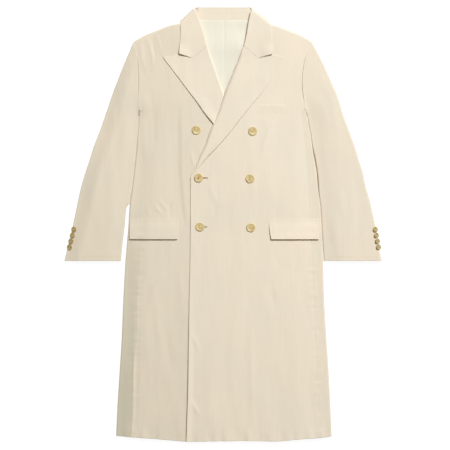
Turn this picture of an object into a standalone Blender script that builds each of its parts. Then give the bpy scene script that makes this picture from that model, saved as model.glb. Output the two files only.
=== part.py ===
"""A double-breasted long coat with peak lapels, laid flat on its back.

Millimetres in the tables and functions, metres on the meshes. +Z is up from the surface the coat
lies on, +Y runs towards the collar, and +X towards the wearer's left. The origin is on that
surface, below the middle of the coat. Each cut piece is an open surface with a Solidify modifier.
Left and right in the names are the wearer's; SIDE is +1 for the left and -1 for the right.
"""

import math
from bisect import bisect_right
from collections import namedtuple

import bpy
from mathutils import Vector

MM = 0.001
LEFT = 1
RIGHT = -1

# Thickness of the cloth: shell, wadding and lining lie together in a wall
WALL = 3.5
FACING = 3.0
WELT_WALL = 1.5
LINING = 1.2

# Clearances: between the edges at a seam, and under what lies on a panel
SEAM = 0.4
ARM_SEAM = 1.2
REST = 0.7

# Room inside the laid coat: plain, and where the fronts overlap
HOLLOW = 3.8
HOLLOW_LAP = 2.6

# Rounded edges: how far the top falls towards an edge, over what width, and the turn itself
EDGE_DROP = 2.2
EDGE_WIDTH = 60.0
TURN = 6.0
TUCK = 13.0
TUCK_SHARE = 0.985

# How gently a panel comes down past the edge of what it lies on
LAP_MARGIN = 20.0
LAP_RAMP = 90.0

ARMPIT = 302.0
SIDE_TOP = 296.0
BREAK = 122.0
GORGE = 473.0
NECKLINE = 542.0
BACK_TOP = 466.0
UNDER_LAP = 92.0
ROLL = 4.0
FOLD_INSET = 4.4
HEM_BACK_SHORTER = 3.0

# Outline of the body below the armholes, and the front side seams, at heights on the coat
Body = namedtuple("Body", "y edge_right edge_left seam_right seam_left")
BODY = [
    Body(-572, -289, 294, -248, 262),
    Body(-491, -285, 290, -242, 259),
    Body(-397, -279, 285, -241, 254),
    Body(-319, -274, 280, -234, 250),
    Body(-221, -270, 274, -232, 246),
    Body(-127, -265, 271, -225, 242),
    Body(-59, -260, 269, -222, 239),
    Body(-16, -256, 267, -221, 237),
    Body(46, -252, 263, -219, 234),
    Body(113, -243, 254, -216, 230),
    Body(194, -234, 243, -213, 224),
    Body(248, -228, 235, -212, 219),
    Body(302, -224, 224, -212, 212),
]

# The hem's height at places across the coat
Hem = namedtuple("Hem", "y height")
HEM = [Hem(-292, -578), Hem(-238, -582), Hem(-170, -587), Hem(-100, -593),
       Hem(-20, -592), Hem(73, -591), Hem(150, -592), Hem(208, -587), Hem(262, -583),
       Hem(296, -579)]

# The shoulder line's height at distances from the middle of the coat
Shoulder = namedtuple("Shoulder", "y height")
SHOULDER = [Shoulder(66, 557), Shoulder(90, 546), Shoulder(112, 537), Shoulder(125, 535),
            Shoulder(146, 530), Shoulder(167, 522), Shoulder(205, 507), Shoulder(235, 491),
            Shoulder(243, 484)]

# Armhole seams
Armhole = namedtuple("Armhole", "y right left")
ARMHOLE = [Armhole(302, -224, 224), Armhole(343, -227, 216), Armhole(378, -227, 213),
           Armhole(416, -228, 216), Armhole(451, -231, 224), Armhole(485, -242, 242)]

# The left front's free edge below the break of its lapel
Edge = namedtuple("Edge", "y x")
FRONT_EDGE = [Edge(-585, -101), Edge(-454, -97), Edge(-292, -94), Edge(-211, -92),
              Edge(-108, -89), Edge(-14, -88), Edge(122, -88)]

# Roll lines and outer edges of the lapels
Lapel = namedtuple("Lapel", "y roll_right roll_left edge_right edge_left")
LAPELS = [
    Lapel(122, 92, -88, 90, -85),
    Lapel(144, 80, -74, 71, -68),
    Lapel(177, 62, -63, 43, -40),
    Lapel(211, 48, -48, 13, -8),
    Lapel(240, 37, -38, -8, 17),
    Lapel(267, 28, -27, -27, 38),
    Lapel(294, 19, -15, -49, 59),
    Lapel(324, 9, -5, -70, 84),
    Lapel(351, -1, 5, -91, 107),
    Lapel(383, -12, 18, -115, 130),
    Lapel(416, -23, 31, -140, 148),
    Lapel(447, -34, 44, -162, 165),
    Lapel(473, -43, 54, -162, 165),
]

# Where the rows of a lapel start on the roll line and end on the outer edge
LapelRow = namedtuple("LapelRow", "roll_y edge_y gorge")
LAPEL_ROWS = [LapelRow(472.6, 446, 1.0), LapelRow(458, 429, 0.5), LapelRow(442, 411, 0.15),
              LapelRow(410, 373, 0), LapelRow(377, 334, 0), LapelRow(345, 299, 0),
              LapelRow(312, 269, 0), LapelRow(279, 243, 0), LapelRow(248, 218, 0),
              LapelRow(216, 193, 0), LapelRow(184, 170, 0), LapelRow(152, 147, 0)]

# Dip of the gorge seam and the notch below a straight line from the fold to the outer edge
Dip = namedtuple("Dip", "y depth")
LAPEL_DIP = [Dip(0, 0), Dip(0.168, 11.3), Dip(0.345, 21.3), Dip(0.504, 14.8),
             Dip(0.655, 7.3), Dip(1, 0)]
COLLAR_DIP = [Dip(0, 0), Dip(0.25, 9.7), Dip(0.5, 18.9), Dip(0.75, 9.2), Dip(1, 0)]

# Where the rows of a front start at the side and end at the middle
Station = namedtuple("Station", "outer inner")
STATIONS = [
    Station(-572, -581), Station(-510, -517), Station(-440, -446), Station(-370, -374),
    Station(-300, -302), Station(-235, -235), Station(-170, -168), Station(-110, -106),
    Station(-57, -52), Station(-10, -5), Station(40, 50), Station(80, 92), Station(110, 122),
    Station(140, 152), Station(172, 184), Station(204, 216), Station(236, 248),
    Station(266, 279), Station(297, 312), Station(299.5, 316), Station(308, 325),
    Station(325, 345),
    Station(352, 377), Station(379, 410), Station(405, 442), Station(425, 472.6),
    Station(440, 490), Station(452, 510), Station(465, 530), Station(478, 546.5),
]
BOW_FROM = 18

# The collar about its own middle line: half widths of the fold and of the outer edge
CollarRow = namedtuple("CollarRow", "turn fold_x fold_y outer_x outer_y gorge")
COLLAR_ROWS = [
    CollarRow(90, 49, 474.2, 126, 455, 1.0),
    CollarRow(90, 53, 489, 125, 471, 0.4),
    CollarRow(90, 58, 510, 123, 490, 0),
    CollarRow(90, 63, 532, 122, 506, 0),
    CollarRow(90, 69, 554, 121, 519, 0),
    CollarRow(90, 74, 570, 121, 528, 0),
    CollarRow(45, 79, 575, 121, 539, 0),
    CollarRow(0, 81, 577, 121, 543, 0),
    CollarRow(-45, 79.5, 579, 120, 539, 0),
    CollarRow(-90, 75, 580, 118, 529, 0),
    CollarRow(-90, 60, 580, 98, 520, 0),
    CollarRow(-90, 33, 580, 60, 514, 0),
    CollarRow(-90, 0, 580, 0, 512, 0),
]
# The stand inside it, behind the neck: half widths about the same line
StandRow = namedtuple("StandRow", "y half")
STAND_ROWS = [StandRow(543, 63), StandRow(551, 65), StandRow(560, 67), StandRow(568, 68.5),
              StandRow(576.65, 68)]
STAND_LOW = 5.0
COLLAR_ZONE = 122.0
COLLAR_ZONE_FROM = 516.0
COLLAR_ZONE_RAMP = 90.0

# Sections of a sleeve, from the cuff to the armhole: where each starts at the inner edge, where it
# ends on the outer edge, its clearance from the body, and its share of the armhole's own curve
SleeveRow = namedtuple("SleeveRow", "inner_y right_x left_x outer_y gap_right gap_left curve")
SLEEVE_ROWS = [
    SleeveRow(-105, -429, 429, -105, 11, 2, 0),
    SleeveRow(-57, -418, 420.5, -60, 13, 1, 0),
    SleeveRow(-10, -405, 411, -6, 10, 1, 0),
    SleeveRow(40, -393, 398.5, 52, 2, 1, 0),
    SleeveRow(80, -382, 385, 100, 1, 1, 0),
    SleeveRow(110, -370.5, 375, 138, 1, 1, 0),
    SleeveRow(140, -358, 362.5, 175, 1, 1, 0),
    SleeveRow(172, -346.5, 350.5, 212, 1, 1, 0),
    SleeveRow(204, -331.5, 337, 250, 1, 1, 0),
    SleeveRow(236, -317, 321.5, 292, 1, 1, 0),
    SleeveRow(266, -302.5, 308, 335, 1.5, 1.5, 0.03),
    SleeveRow(281, -288, 291, 375, 2, 2, 0.18),
    SleeveRow(292, -268.5, 272, 425, 2, 2, 0.5),
    SleeveRow(302, -243, 243, 485, 2, 2, 1),
]

# Pocket flaps and breast welt
Flap = namedtuple("Flap", "side x_in x_out top bottom slant")
FLAPS = {"pocket_flap_right": Flap(RIGHT, -122, -251, 9, -47, 0),
         "pocket_flap_left": Flap(LEFT, 124, 262, 9, -47, 6)}
FLAP_CORNER = 8.0
FLAP_LIFT = 2.5
WELT_X = (90, 178)
WELT_Y = (292, 316)

# Lining of the neck
LINING_FOOT = 338.0
LINING_MARGIN = 22.0
LINING_MARGIN_TOP = 8.0
PLEAT_HEIGHT = 1.5
PLEAT_WIDTH = 7.0

# Buttons
BUTTON_RADIUS = 12.0
BUTTON_STEPS = 16
BUTTON_PROFILE = [(0, 2.6), (7.4, 2.8), (9.0, 4.2), (11.2, 4.4), (12.0, 3.4), (11.6, 1.2),
                  (9.4, 0), (0, 0)]
CUFF_BUTTON_RADIUS = 7.5
CUFF_BUTTON_STEPS = 12
CUFF_BUTTON_PROFILE = [(0, 2.0), (5.2, 3.0), (7.5, 2.6), (6.6, 0), (0, 0)]
BUTTON_GAP = 0.4
FRONT_BUTTONS = [(-72, 248), (80, 245), (-66, 119), (73, 117), (-62, -13), (75, -15)]
CUFF_BUTTONS = 4
CUFF_BUTTON_FIRST = -68.0
CUFF_BUTTON_STEP = 16.0
CUFF_BUTTON_INSET = 8.5

Paint = namedtuple("Paint", "colour roughness")
PAINTS = {"cloth": Paint((0.80, 0.71, 0.56), 0.9), "lining": Paint((0.84, 0.81, 0.67), 0.6),
          "horn": Paint((0.46, 0.27, 0.07), 0.35)}


def clamp(value, low=0.0, high=1.0):
    return max(low, min(high, value))


def lerp(a, b, t):
    return a + (b - a) * t


def ease(t):
    t = clamp(t)
    return t * t * (3 - 2 * t)


def read(rows, y, column):
    """A column's value at y, on a smooth curve through the table's rows."""
    keys = [row.y for row in rows]
    values = [getattr(row, column) for row in rows]
    last = len(rows) - 1
    y = clamp(y, keys[0], keys[last])
    i = min(max(bisect_right(keys, y) - 1, 0), last - 1)

    def slope(k):
        before, after = max(k - 1, 0), min(k + 1, last)
        return (values[after] - values[before]) / (keys[after] - keys[before])

    span = keys[i + 1] - keys[i]
    t = (y - keys[i]) / span
    return ((2 * t**3 - 3 * t**2 + 1) * values[i] + (t**3 - 2 * t**2 + t) * span * slope(i)
            + (3 * t**2 - 2 * t**3) * values[i + 1] + (t**3 - t**2) * span * slope(i + 1))


def name_of(side):
    return "left" if side == LEFT else "right"


def collar_middle(y):
    return lerp(6.0, 1.5, ease((y - 500) / 70))


def body_edge(side, y):
    return read(BODY, y, "edge_" + name_of(side))


def side_seam(side, y):
    return read(BODY, y, "seam_" + name_of(side))


def armhole(side, y):
    return read(ARMHOLE, y, name_of(side))


def hem(x):
    return read(HEM, x, "height")


def shoulder(x):
    return read(SHOULDER, abs(x), "height")


def collar_fold(side, y):
    rows = [Edge(row.fold_y, row.fold_x) for row in COLLAR_ROWS if row.turn == 90]
    return collar_middle(y) + side * read(rows, y, "x")


def fold_line(side, y):
    """The edge that a front is folded back along: free edge, then roll line, then collar."""
    if y > GORGE:
        return collar_fold(side, y)
    if y > BREAK:
        return read(LAPELS, y, "roll_" + name_of(side))
    return read(FRONT_EDGE, y, "x") if side == LEFT else UNDER_LAP


def lapel_edge(side, y):
    return read(LAPELS, y, "edge_" + name_of(side))


# Heights of the laid cloth

def floor_height(x, y):
    """Underside of the coat: on the ground, and on the collar's fall behind the neck."""
    across = ease(1 - (abs(x - collar_middle(y)) - COLLAR_ZONE) / COLLAR_ZONE_RAMP)
    along = ease(1 - (COLLAR_ZONE_FROM - y) / COLLAR_ZONE_RAMP)
    return (FACING + REST) * across * along


def edge_drop(x, y):
    side = LEFT if x > 0 else RIGHT
    inside = abs(body_edge(side, y) - x)
    at_side = (1 - ease(inside / EDGE_WIDTH)) * ease((ARMPIT + 20 - y) / 40)
    at_shoulder = 1 - ease((shoulder(x) - y) / EDGE_WIDTH)
    return EDGE_DROP * max(at_side, at_shoulder)


def hollow(x, y):
    outside = max(fold_line(LEFT, y) - x, x - fold_line(RIGHT, y), 0)
    return lerp(HOLLOW, HOLLOW_LAP, 1 - ease(outside / LAP_RAMP))


def right_top(x, y):
    """Outer surface of a single front on the back."""
    return floor_height(x, y) + 2 * WALL + hollow(x, y) - edge_drop(x, y)


def past_ramp(distance):
    return 1 - ease((distance - LAP_MARGIN) / LAP_RAMP)


def left_top(x, y):
    """Outer surface of the left front, which also lies on the right one and its lapel."""
    past_front = x - fold_line(RIGHT, y)
    past_lapel = max(past_front, 0.75 * (lapel_edge(RIGHT, y) - x), BREAK - y)
    lift = (WALL + REST) * past_ramp(past_front) + (FACING + REST) * past_ramp(past_lapel)
    return right_top(x, y) + lift


TOP = {LEFT: left_top, RIGHT: right_top}


# Making objects

def material(name):
    found = bpy.data.materials.get(name)
    if found:
        return found
    made = bpy.data.materials.new(name)
    made.use_nodes = True
    shader = made.node_tree.nodes["Principled BSDF"]
    shader.inputs["Base Color"].default_value = (*PAINTS[name].colour, 1)
    shader.inputs["Roughness"].default_value = PAINTS[name].roughness
    return made


def add_object(name, mesh, paint):
    obj = bpy.data.objects.new(name, mesh)
    if not mesh.materials:
        mesh.materials.append(material(paint))
    bpy.data.collections["coat"].objects.link(obj)
    obj.parent = bpy.data.objects["coat_frame"]
    return obj


def sheet(name, rows, wall, paint="cloth", up=True, at=0.5):
    """A piece of cloth from rows of points on its outer surface.

    The outer surface looks up, or down where up is False, in the face at share `at` of each row.
    """
    width = len(rows[0])
    points = [Vector(point) * MM for row in rows for point in row]
    corners = [(r * width + c, r * width + c + 1, (r + 1) * width + c + 1, (r + 1) * width + c)
               for r in range(len(rows) - 1) for c in range(width - 1)]
    probe = corners[(len(rows) - 2) // 2 * (width - 1) + int(at * (width - 2))]
    a, b, c = (points[i] for i in probe[:3])
    if ((b - a).cross(c - b).z > 0) != up:
        corners = [face[::-1] for face in corners]
    mesh = bpy.data.meshes.new(name)
    mesh.from_pydata(points, [], corners)
    mesh.shade_smooth()
    obj = add_object(name, mesh, paint)
    solid = obj.modifiers.new("wall", "SOLIDIFY")
    solid.thickness = wall * MM
    solid.offset = -1
    return obj


def turn(start, reach, low, high, angle):
    """A point on the rounded edge: angle 90 is on top, 0 at the outline, -90 underneath."""
    a = math.radians(angle)
    x = start[0] + reach[0] * math.cos(a)
    y = start[1] + reach[1] * math.cos(a)
    return (x, y, (high + low) / 2 + (high - low) / 2 * math.sin(a))


TURN_ANGLES = (90, 45, 0, -45, -90)


# Body

def side_panel(side):
    rows = []
    for station in STATIONS:
        if station.outer > SIDE_TOP + 2:
            break
        level = min(station.outer, SIDE_TOP)
        edge = body_edge(side, level)
        start = edge - side * TURN

        def at(x):
            return hem(x) if station is STATIONS[0] else level

        seam = side_seam(side, level) + side * SEAM / 2
        row = []
        for k in range(5):
            x = lerp(seam, start, k / 5)
            row.append((x, at(x), right_top(x, at(x))))
        high = right_top(start, at(start))
        for angle in TURN_ANGLES:
            row.append(turn((start, at(edge)), (side * TURN, 0), 0, high, angle))
        row.append((edge - side * TUCK, at(edge), 0))
        rows.append(row)
    sheet("side_panel_" + name_of(side), rows, WALL, at=0.0)


def front(side, columns):
    """One front, from its side seam and armhole to its free edge, turned over the shoulder."""
    top = TOP[side]
    rows = []
    last = STATIONS[-1]
    for number, station in enumerate(STATIONS):
        if station.outer < SIDE_TOP + 2:
            x_out = side_seam(side, station.outer) - side * SEAM / 2
        else:
            x_out = armhole(side, station.outer) - side * SEAM / 2
        x_in = front_inner(side, station.inner)
        bow = ease((number - BOW_FROM) / (len(STATIONS) - 1 - BOW_FROM))
        row = []
        for c in range(columns + 1):
            u = c / columns
            x = lerp(x_out, x_in, u)
            y = lerp(station.outer, station.inner, u)
            if number == 0:
                y = hem(x)
            line = lerp(last.outer, last.inner, u)
            x_last = lerp(armhole(side, last.outer), front_inner(side, last.inner), u)
            y += bow * (shoulder(x_last) - TURN - line)
            row.append((x, y, top(x, y)))
        rows.append(row)
    edge_row = rows[-1]
    for angle in TURN_ANGLES[1:]:
        rows.append([turn((x, y), (0, TURN), floor_height(x, y), z, angle)
                     for x, y, z in edge_row])
    rows.append([(x * TUCK_SHARE, y + TURN - TUCK + 1, floor_height(x, y))
                 for x, y, z in edge_row])
    sheet("front_" + name_of(side), rows, WALL, at=0.3)


def front_inner(side, y):
    """The inner edge of a front, tucked into the fold of its lapel or of the collar."""
    if y > GORGE:
        return collar_fold(side, y + TURN) + side * FOLD_INSET
    wrap = ease((y - BREAK) / 28)
    return fold_line(side, y) + side * FOLD_INSET * wrap


def back_top(x):
    return min(NECKLINE, shoulder(x) - TUCK - 8)


def back(columns=12):
    """The back, flat on the ground, with its neck lifted by the collar's fall."""
    rows = []
    for station in STATIONS:
        level = min(station.outer, BACK_TOP)
        if level < SIDE_TOP + 2:
            level = level if level < SIDE_TOP else level + 1.5
            x_right = body_edge(RIGHT, level) + TUCK + SEAM
            x_left = body_edge(LEFT, level) - TUCK - SEAM
        else:
            level = max(level, SIDE_TOP + 8)
            x_right = armhole(RIGHT, level) + ARM_SEAM
            x_left = armhole(LEFT, level) - ARM_SEAM
        rise = ease((level - 240) / (BACK_TOP - 240))
        row = []
        for c in range(columns + 1):
            u = c / columns
            x = lerp(x_right, x_left, u)
            x_top = lerp(armhole(RIGHT, BACK_TOP), armhole(LEFT, BACK_TOP), u)
            y = level + rise * max(0, back_top(x_top) - BACK_TOP)
            if station is STATIONS[0]:
                y = hem(x) + HEM_BACK_SHORTER
            row.append((x, y, floor_height(x, y)))
        rows.append(row)
    sheet("back", rows, WALL, up=False)


# Sleeves

def sleeve_section(side, row):
    """Start, end and bend of one section line of a sleeve, seen from above."""
    gap = row.gap_left if side == LEFT else row.gap_right
    x_out = row.left_x if side == LEFT else row.right_x
    if row.curve == 1:
        start = Vector((armhole(side, ARMPIT) + side * ARM_SEAM, ARMPIT))
    else:
        start = Vector((body_edge(side, row.inner_y) + side * gap, row.inner_y))
    end = Vector((x_out + side * ARM_SEAM, row.outer_y))
    return start, end


def sleeve_plan(side, row, distance):
    """The point at a distance along the section line, bent like the armhole near the head."""
    start, end = sleeve_section(side, row)
    length = (end - start).length
    share = distance / length
    point = start.lerp(end, share)
    y = lerp(ARMPIT, 485, clamp(share))
    straight = lerp(armhole(side, ARMPIT), armhole(side, 485), clamp(share))
    point.x += row.curve * (armhole(side, y) - straight)
    return point


def sleeve_top(distance, length):
    near = min(distance, length - distance)
    return 2 * WALL + HOLLOW - EDGE_DROP * (1 - ease(near / EDGE_WIDTH))


def sleeve(side):
    upper = []
    under = []
    shares = [(station.outer - ARMPIT) / (485 - ARMPIT) for station in STATIONS[:-1]
              if station.outer > ARMPIT + 2 * TURN]
    for row in SLEEVE_ROWS:
        start, end = sleeve_section(side, row)
        length = (end - start).length
        along = (end - start).normalized()
        high = sleeve_top(TURN, length)
        inner = sleeve_plan(side, row, TURN)
        outer = sleeve_plan(side, row, length - TURN)
        section = [(*sleeve_plan(side, row, TUCK), 0)]
        section += [turn(inner, -along * TURN, 0, high, angle) for angle in TURN_ANGLES[::-1]]
        for share in shares:
            section.append((*sleeve_plan(side, row, share * length),
                            sleeve_top(share * length, length)))
        section += [turn(outer, along * TURN, 0, high, angle) for angle in TURN_ANGLES]
        section.append((*sleeve_plan(side, row, length - TUCK), 0))
        upper.append(section)
        distances = [TUCK + SEAM, *(share * length for share in shares[1:-1]),
                     length - TUCK - SEAM]
        under.append([(*sleeve_plan(side, row, distance), 0) for distance in distances])
    sheet("sleeve_" + name_of(side) + "_upper", upper, WALL)
    sheet("sleeve_" + name_of(side) + "_under", under, WALL, up=False)


# Lapels and collar

def rolled(start, along, outward, drop, radius):
    """Points of a fold's rounded edge, from its hidden end to where the flat part starts."""
    half = radius * (1 - math.sqrt(0.5))
    return [start - outward * drop, start - outward * radius,
            start + along * half - outward * half, start + along * radius]


def lapel(side):
    top = TOP[side]
    flat_steps = 6
    rows = []
    for row in LAPEL_ROWS:
        x_roll = fold_line(side, row.roll_y)
        x_edge = lapel_edge(side, row.edge_y)
        start = Vector((x_roll, row.roll_y))
        end = Vector((x_edge, row.edge_y))
        along = (end - start).normalized()
        radius = min(ROLL, 0.45 * (end - start).length)
        wrap = ease((row.roll_y - BREAK) / 40)
        drop = lerp(FACING, FACING + REST + WALL, wrap)
        inset = start + along * radius
        high = top(inset.x, inset.y) + REST + FACING
        base = Vector((start.x, start.y, high))
        section = rolled(base, Vector((*along, 0)), Vector((0, 0, 1)), drop, radius)
        for k in range(1, flat_steps + 1):
            share = k / flat_steps
            point = inset.lerp(end, share)
            y = point.y - row.gorge * read(LAPEL_DIP, share, "depth")
            section.append(Vector((point.x, y, top(point.x, y) + REST + FACING)))
        rows.append(section)
    sheet("lapel_" + name_of(side), rows, FACING, at=0.8)


def collar_fall():
    """The outer collar: on the fronts, round the sides of the neck, and under the back."""
    flat_steps = 4
    rows = []
    both = [(RIGHT, row) for row in COLLAR_ROWS] + [(LEFT, row) for row in COLLAR_ROWS[-2::-1]]
    for side, row in both:
        start = Vector((collar_middle(row.fold_y) + side * row.fold_x, row.fold_y))
        end = Vector((collar_middle(row.outer_y) + side * row.outer_x, row.outer_y))
        flat = (end - start).normalized()
        a = math.radians(row.turn)
        aside = Vector((-side * flat.y, side * flat.x)) * side
        if aside.x * side < 0:
            aside.negate()
        outward = Vector((*(aside * math.cos(a)), math.sin(a)))
        along = Vector((*flat, 0))

        def height(x, y):
            on_top = TOP[side](x, y) + REST + FACING
            return lerp(0, on_top, (1 + math.sin(a)) / 2)

        inset = start + flat * ROLL
        base = Vector((*start, height(*inset)))
        under = STAND_LOW + FACING if row.turn < 0 else FACING + REST + WALL - 0.3
        section = rolled(base, along, outward, under, ROLL)
        for k in range(1, flat_steps + 1):
            share = k / flat_steps
            point = inset.lerp(end, share)
            y = point.y - row.gorge * read(COLLAR_DIP, share, "depth")
            section.append(Vector((point.x, y, height(point.x, y))))
        rows.append(section)
    sheet("collar_fall", rows, FACING, up=False, at=0.7)


def collar_stand():
    """The band between the neck seam and the collar's fold, behind the neck."""
    rows = []
    for row in reversed(STAND_ROWS):
        middle = collar_middle(row.y)
        rows.append([(middle + row.half * (k / 4 - 1), row.y, STAND_LOW + FACING)
                     for k in range(9)])
    sheet("collar_stand", rows, FACING)


# What lies on the fronts and in the neck

def flap(name, shape):
    top = TOP[shape.side]
    shares = (0, 0.35, 0.7, 0.87, 0.96, 1)
    rows = []
    for share in shares:
        y = lerp(shape.top, shape.bottom, share)
        below = max(0, FLAP_CORNER - (y - shape.bottom))
        corner = FLAP_CORNER - math.sqrt(max(0, FLAP_CORNER**2 - below**2))
        x_in = shape.x_in + shape.side * (corner + shape.slant * share * share)
        x_out = shape.x_out - shape.side * corner
        row = []
        for k in range(9):
            x = lerp(x_in, x_out, k / 8)
            row.append((x, y, top(x, y) + REST + FACING + FLAP_LIFT * share * share))
        rows.append(row)
    sheet(name, rows, FACING)


def welt():
    rows = []
    for share in (0, 0.5, 1):
        y = lerp(WELT_Y[1], WELT_Y[0], share)
        row = []
        for k in range(6):
            x = lerp(WELT_X[0], WELT_X[1], k / 5)
            row.append((x, y, left_top(x, y) + REST + WELT_WALL))
        rows.append(row)
    sheet("breast_welt", rows, WELT_WALL)


def lining():
    """The lining that shows in the neck, with the pleat down its middle."""
    shares = (0, 0.14, 0.28, 0.4, 0.46, 0.5, 0.54, 0.6, 0.72, 0.86, 1)
    rows = []
    for i in range(9):
        y = lerp(LINING_FOOT, NECKLINE - 1.5, i / 8)
        margin = lerp(LINING_MARGIN, LINING_MARGIN_TOP, ease((y - 480) / 50))
        x_right = min(fold_line(RIGHT, y), 0) - margin
        x_left = max(fold_line(LEFT, y), 4) + margin
        fade = ease((y - 370) / 60)
        row = []
        for share in shares:
            x = lerp(x_right, x_left, share)
            pleat = PLEAT_HEIGHT * fade * max(0, 1 - abs(x) / PLEAT_WIDTH)
            row.append((x, y, floor_height(x, y) + WALL + REST + LINING + pleat))
        rows.append(row)
    sheet("lining_back", rows, LINING, paint="lining")


# Buttons

def button_mesh(name, profile):
    mesh = bpy.data.meshes.new(name)
    points = [(r * MM, 0, z * MM) for r, z in profile]
    mesh.from_pydata(points, [(i, i + 1) for i in range(len(points) - 1)], [])
    return mesh


def button(name, mesh, steps, spot, normal):
    obj = add_object(name, mesh, "horn")
    obj.location = Vector(spot) * MM
    obj.rotation_euler = Vector((0, 0, 1)).rotation_difference(normal).to_euler()
    screw = obj.modifiers.new("turned", "SCREW")
    screw.axis = "Z"
    screw.steps = steps
    screw.render_steps = steps
    screw.use_merge_vertices = True
    screw.merge_threshold = 0.00001
    screw.use_smooth_shade = True
    return obj


def seat(surface, x, y, radius):
    """The spot and the normal of a flat disc resting on the highest points of a surface."""
    reach = radius * 0.8
    normal = Vector((surface(x - reach, y) - surface(x + reach, y),
                     surface(x, y - reach) - surface(x, y + reach), 2 * reach)).normalized()
    middle = Vector((x, y, surface(x, y)))
    rise = 0
    for ring in (0.5, 1.0):
        for k in range(12):
            a = math.tau * k / 12
            px = x + ring * radius * math.cos(a)
            py = y + ring * radius * math.sin(a)
            rise = max(rise, (Vector((px, py, surface(px, py))) - middle).dot(normal))
    return middle + normal * (rise + BUTTON_GAP), normal


def front_buttons():
    mesh = button_mesh("front_button", BUTTON_PROFILE)
    for number, (x, y) in enumerate(FRONT_BUTTONS):
        surface = left_top if x > fold_line(LEFT, y) else right_top
        spot, normal = seat(surface, x, y, BUTTON_RADIUS)
        button("button_front_%d" % (number + 1), mesh, BUTTON_STEPS, spot, normal)


def cuff_surface(side):
    """Outer surface of a sleeve near its outer edge, as a height over the ground."""
    def height(x, y):
        rows = sorted((Edge(row.outer_y, row.left_x if side == LEFT else row.right_x)
                       for row in SLEEVE_ROWS), key=lambda row: row.y)
        inside = side * (read(rows, y, "x") - x)
        high = sleeve_top(TURN, 150)
        if inside >= TURN:
            return sleeve_top(inside, 150)
        across = clamp((TURN - inside) / TURN)
        return high / 2 + high / 2 * math.sqrt(1 - across * across)
    return height


def cuff_buttons():
    mesh = button_mesh("cuff_button", CUFF_BUTTON_PROFILE)
    rows = sorted(SLEEVE_ROWS, key=lambda row: row.outer_y)
    for side in (LEFT, RIGHT):
        surface = cuff_surface(side)
        edge = [Edge(row.outer_y, row.left_x if side == LEFT else row.right_x) for row in rows]
        for number in range(CUFF_BUTTONS):
            y = CUFF_BUTTON_FIRST + number * CUFF_BUTTON_STEP
            x = read(edge, y, "x") - side * CUFF_BUTTON_INSET
            spot, normal = seat(surface, x, y, CUFF_BUTTON_RADIUS)
            button("button_cuff_%s_%d" % (name_of(side), number + 1), mesh,
                   CUFF_BUTTON_STEPS, spot, normal)


def main():
    for obj in list(bpy.data.objects):
        bpy.data.objects.remove(obj)
    coat = bpy.data.collections.new("coat")
    bpy.context.scene.collection.children.link(coat)
    coat.objects.link(bpy.data.objects.new("coat_frame", None))

    back()
    lining()
    for side in (RIGHT, LEFT):
        side_panel(side)
        sleeve(side)
        lapel(side)
    front(RIGHT, 12)
    front(LEFT, 15)
    collar_stand()
    collar_fall()
    for name, shape in FLAPS.items():
        flap(name, shape)
    welt()
    front_buttons()
    cuff_buttons()


main()
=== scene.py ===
# Looks of the laid coat. Millimetres in the tables and functions, metres on the meshes, in the
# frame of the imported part: +Z up from the floor, +Y towards the collar, +X to the wearer's left.

import math
from collections import namedtuple

import bmesh
import bpy
import numpy as np
from mathutils import Matrix, Vector


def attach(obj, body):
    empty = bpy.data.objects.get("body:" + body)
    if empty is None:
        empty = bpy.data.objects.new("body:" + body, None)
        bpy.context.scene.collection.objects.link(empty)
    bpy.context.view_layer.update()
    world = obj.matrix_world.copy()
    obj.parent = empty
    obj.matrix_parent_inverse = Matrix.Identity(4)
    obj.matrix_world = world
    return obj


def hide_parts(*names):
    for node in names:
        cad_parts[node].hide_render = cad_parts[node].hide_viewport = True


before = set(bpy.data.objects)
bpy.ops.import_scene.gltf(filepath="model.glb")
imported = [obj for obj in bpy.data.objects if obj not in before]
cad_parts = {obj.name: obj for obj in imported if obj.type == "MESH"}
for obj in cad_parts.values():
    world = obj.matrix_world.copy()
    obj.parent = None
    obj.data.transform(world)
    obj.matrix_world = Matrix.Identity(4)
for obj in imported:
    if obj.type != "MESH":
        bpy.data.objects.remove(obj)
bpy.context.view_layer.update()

MM = 0.001
LEFT = 1
RIGHT = -1


def table(columns, rows):
    """Rows of values under the names of their columns."""
    kind = namedtuple("Row", columns)
    return [kind(*row) for row in rows]


# Spacing of the mesh's points on the cloth
STEP = 3.6

# Thickness of the cloth: the solids' walls, and the thinner sheets that show
WALL = 3.5
CLOTH = 2.2
FACING = 3.0
FACING_CLOTH = 1.6
FLAP_CLOTH = 1.9
WELT_WALL = 0.9
LINING = 0.9

# Clearances between pieces, and the room inside the laid coat
SEAM = 0.03
ARM_SEAM = 0.2
REST = 0.7
LAID = 0.4
GORGE_GAP = 0.2
HOLLOW = 3.8
HOLLOW_LAP = 2.6

# Fall of the cloth beside its edges
EDGE_DROP = {LEFT: 1.0, RIGHT: 2.4}
EDGE_WIDTH = 60.0
SIDE_DROP = {LEFT: 1.0, RIGHT: 3.0}
SIDE_WIDTH = 36.0

# Radii of folded edges, and how far the cloth is tucked under
TURN = 4.0
CLOSED_TURN = 0.5
ARM_TURN = 2.0
WEDGE_TURN = 1.6
ROLL = 2.6
SOFT_ROLL = 10.0
FOLD_INSET = 4.4
TUCK = 13.0
TUCK_SHARE = 0.985

# Narrow wedge between the left side and its sleeve
WEDGE_PLACE = 135.0
WEDGE_REACH = 70.0
WEDGE_COVER = 6.0

# Lap of the fronts: its edge, and where the upper front comes down beside it
UNDER_LAP = 92.0
LAP_MARGIN = 20.0
LAP_RAMP = 140.0

# Heights on the coat
ARMPIT = 302.0
SIDE_TOP = 296.0
SIDE_RISE = (0.8, 3.3)
BREAK = 122.0
GORGE = 473.0
NECKLINE = 542.0
BACK_TOP = 466.0
BACK_STEP = 12.0
HEM_BACK_SHORTER = 3.0

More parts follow.
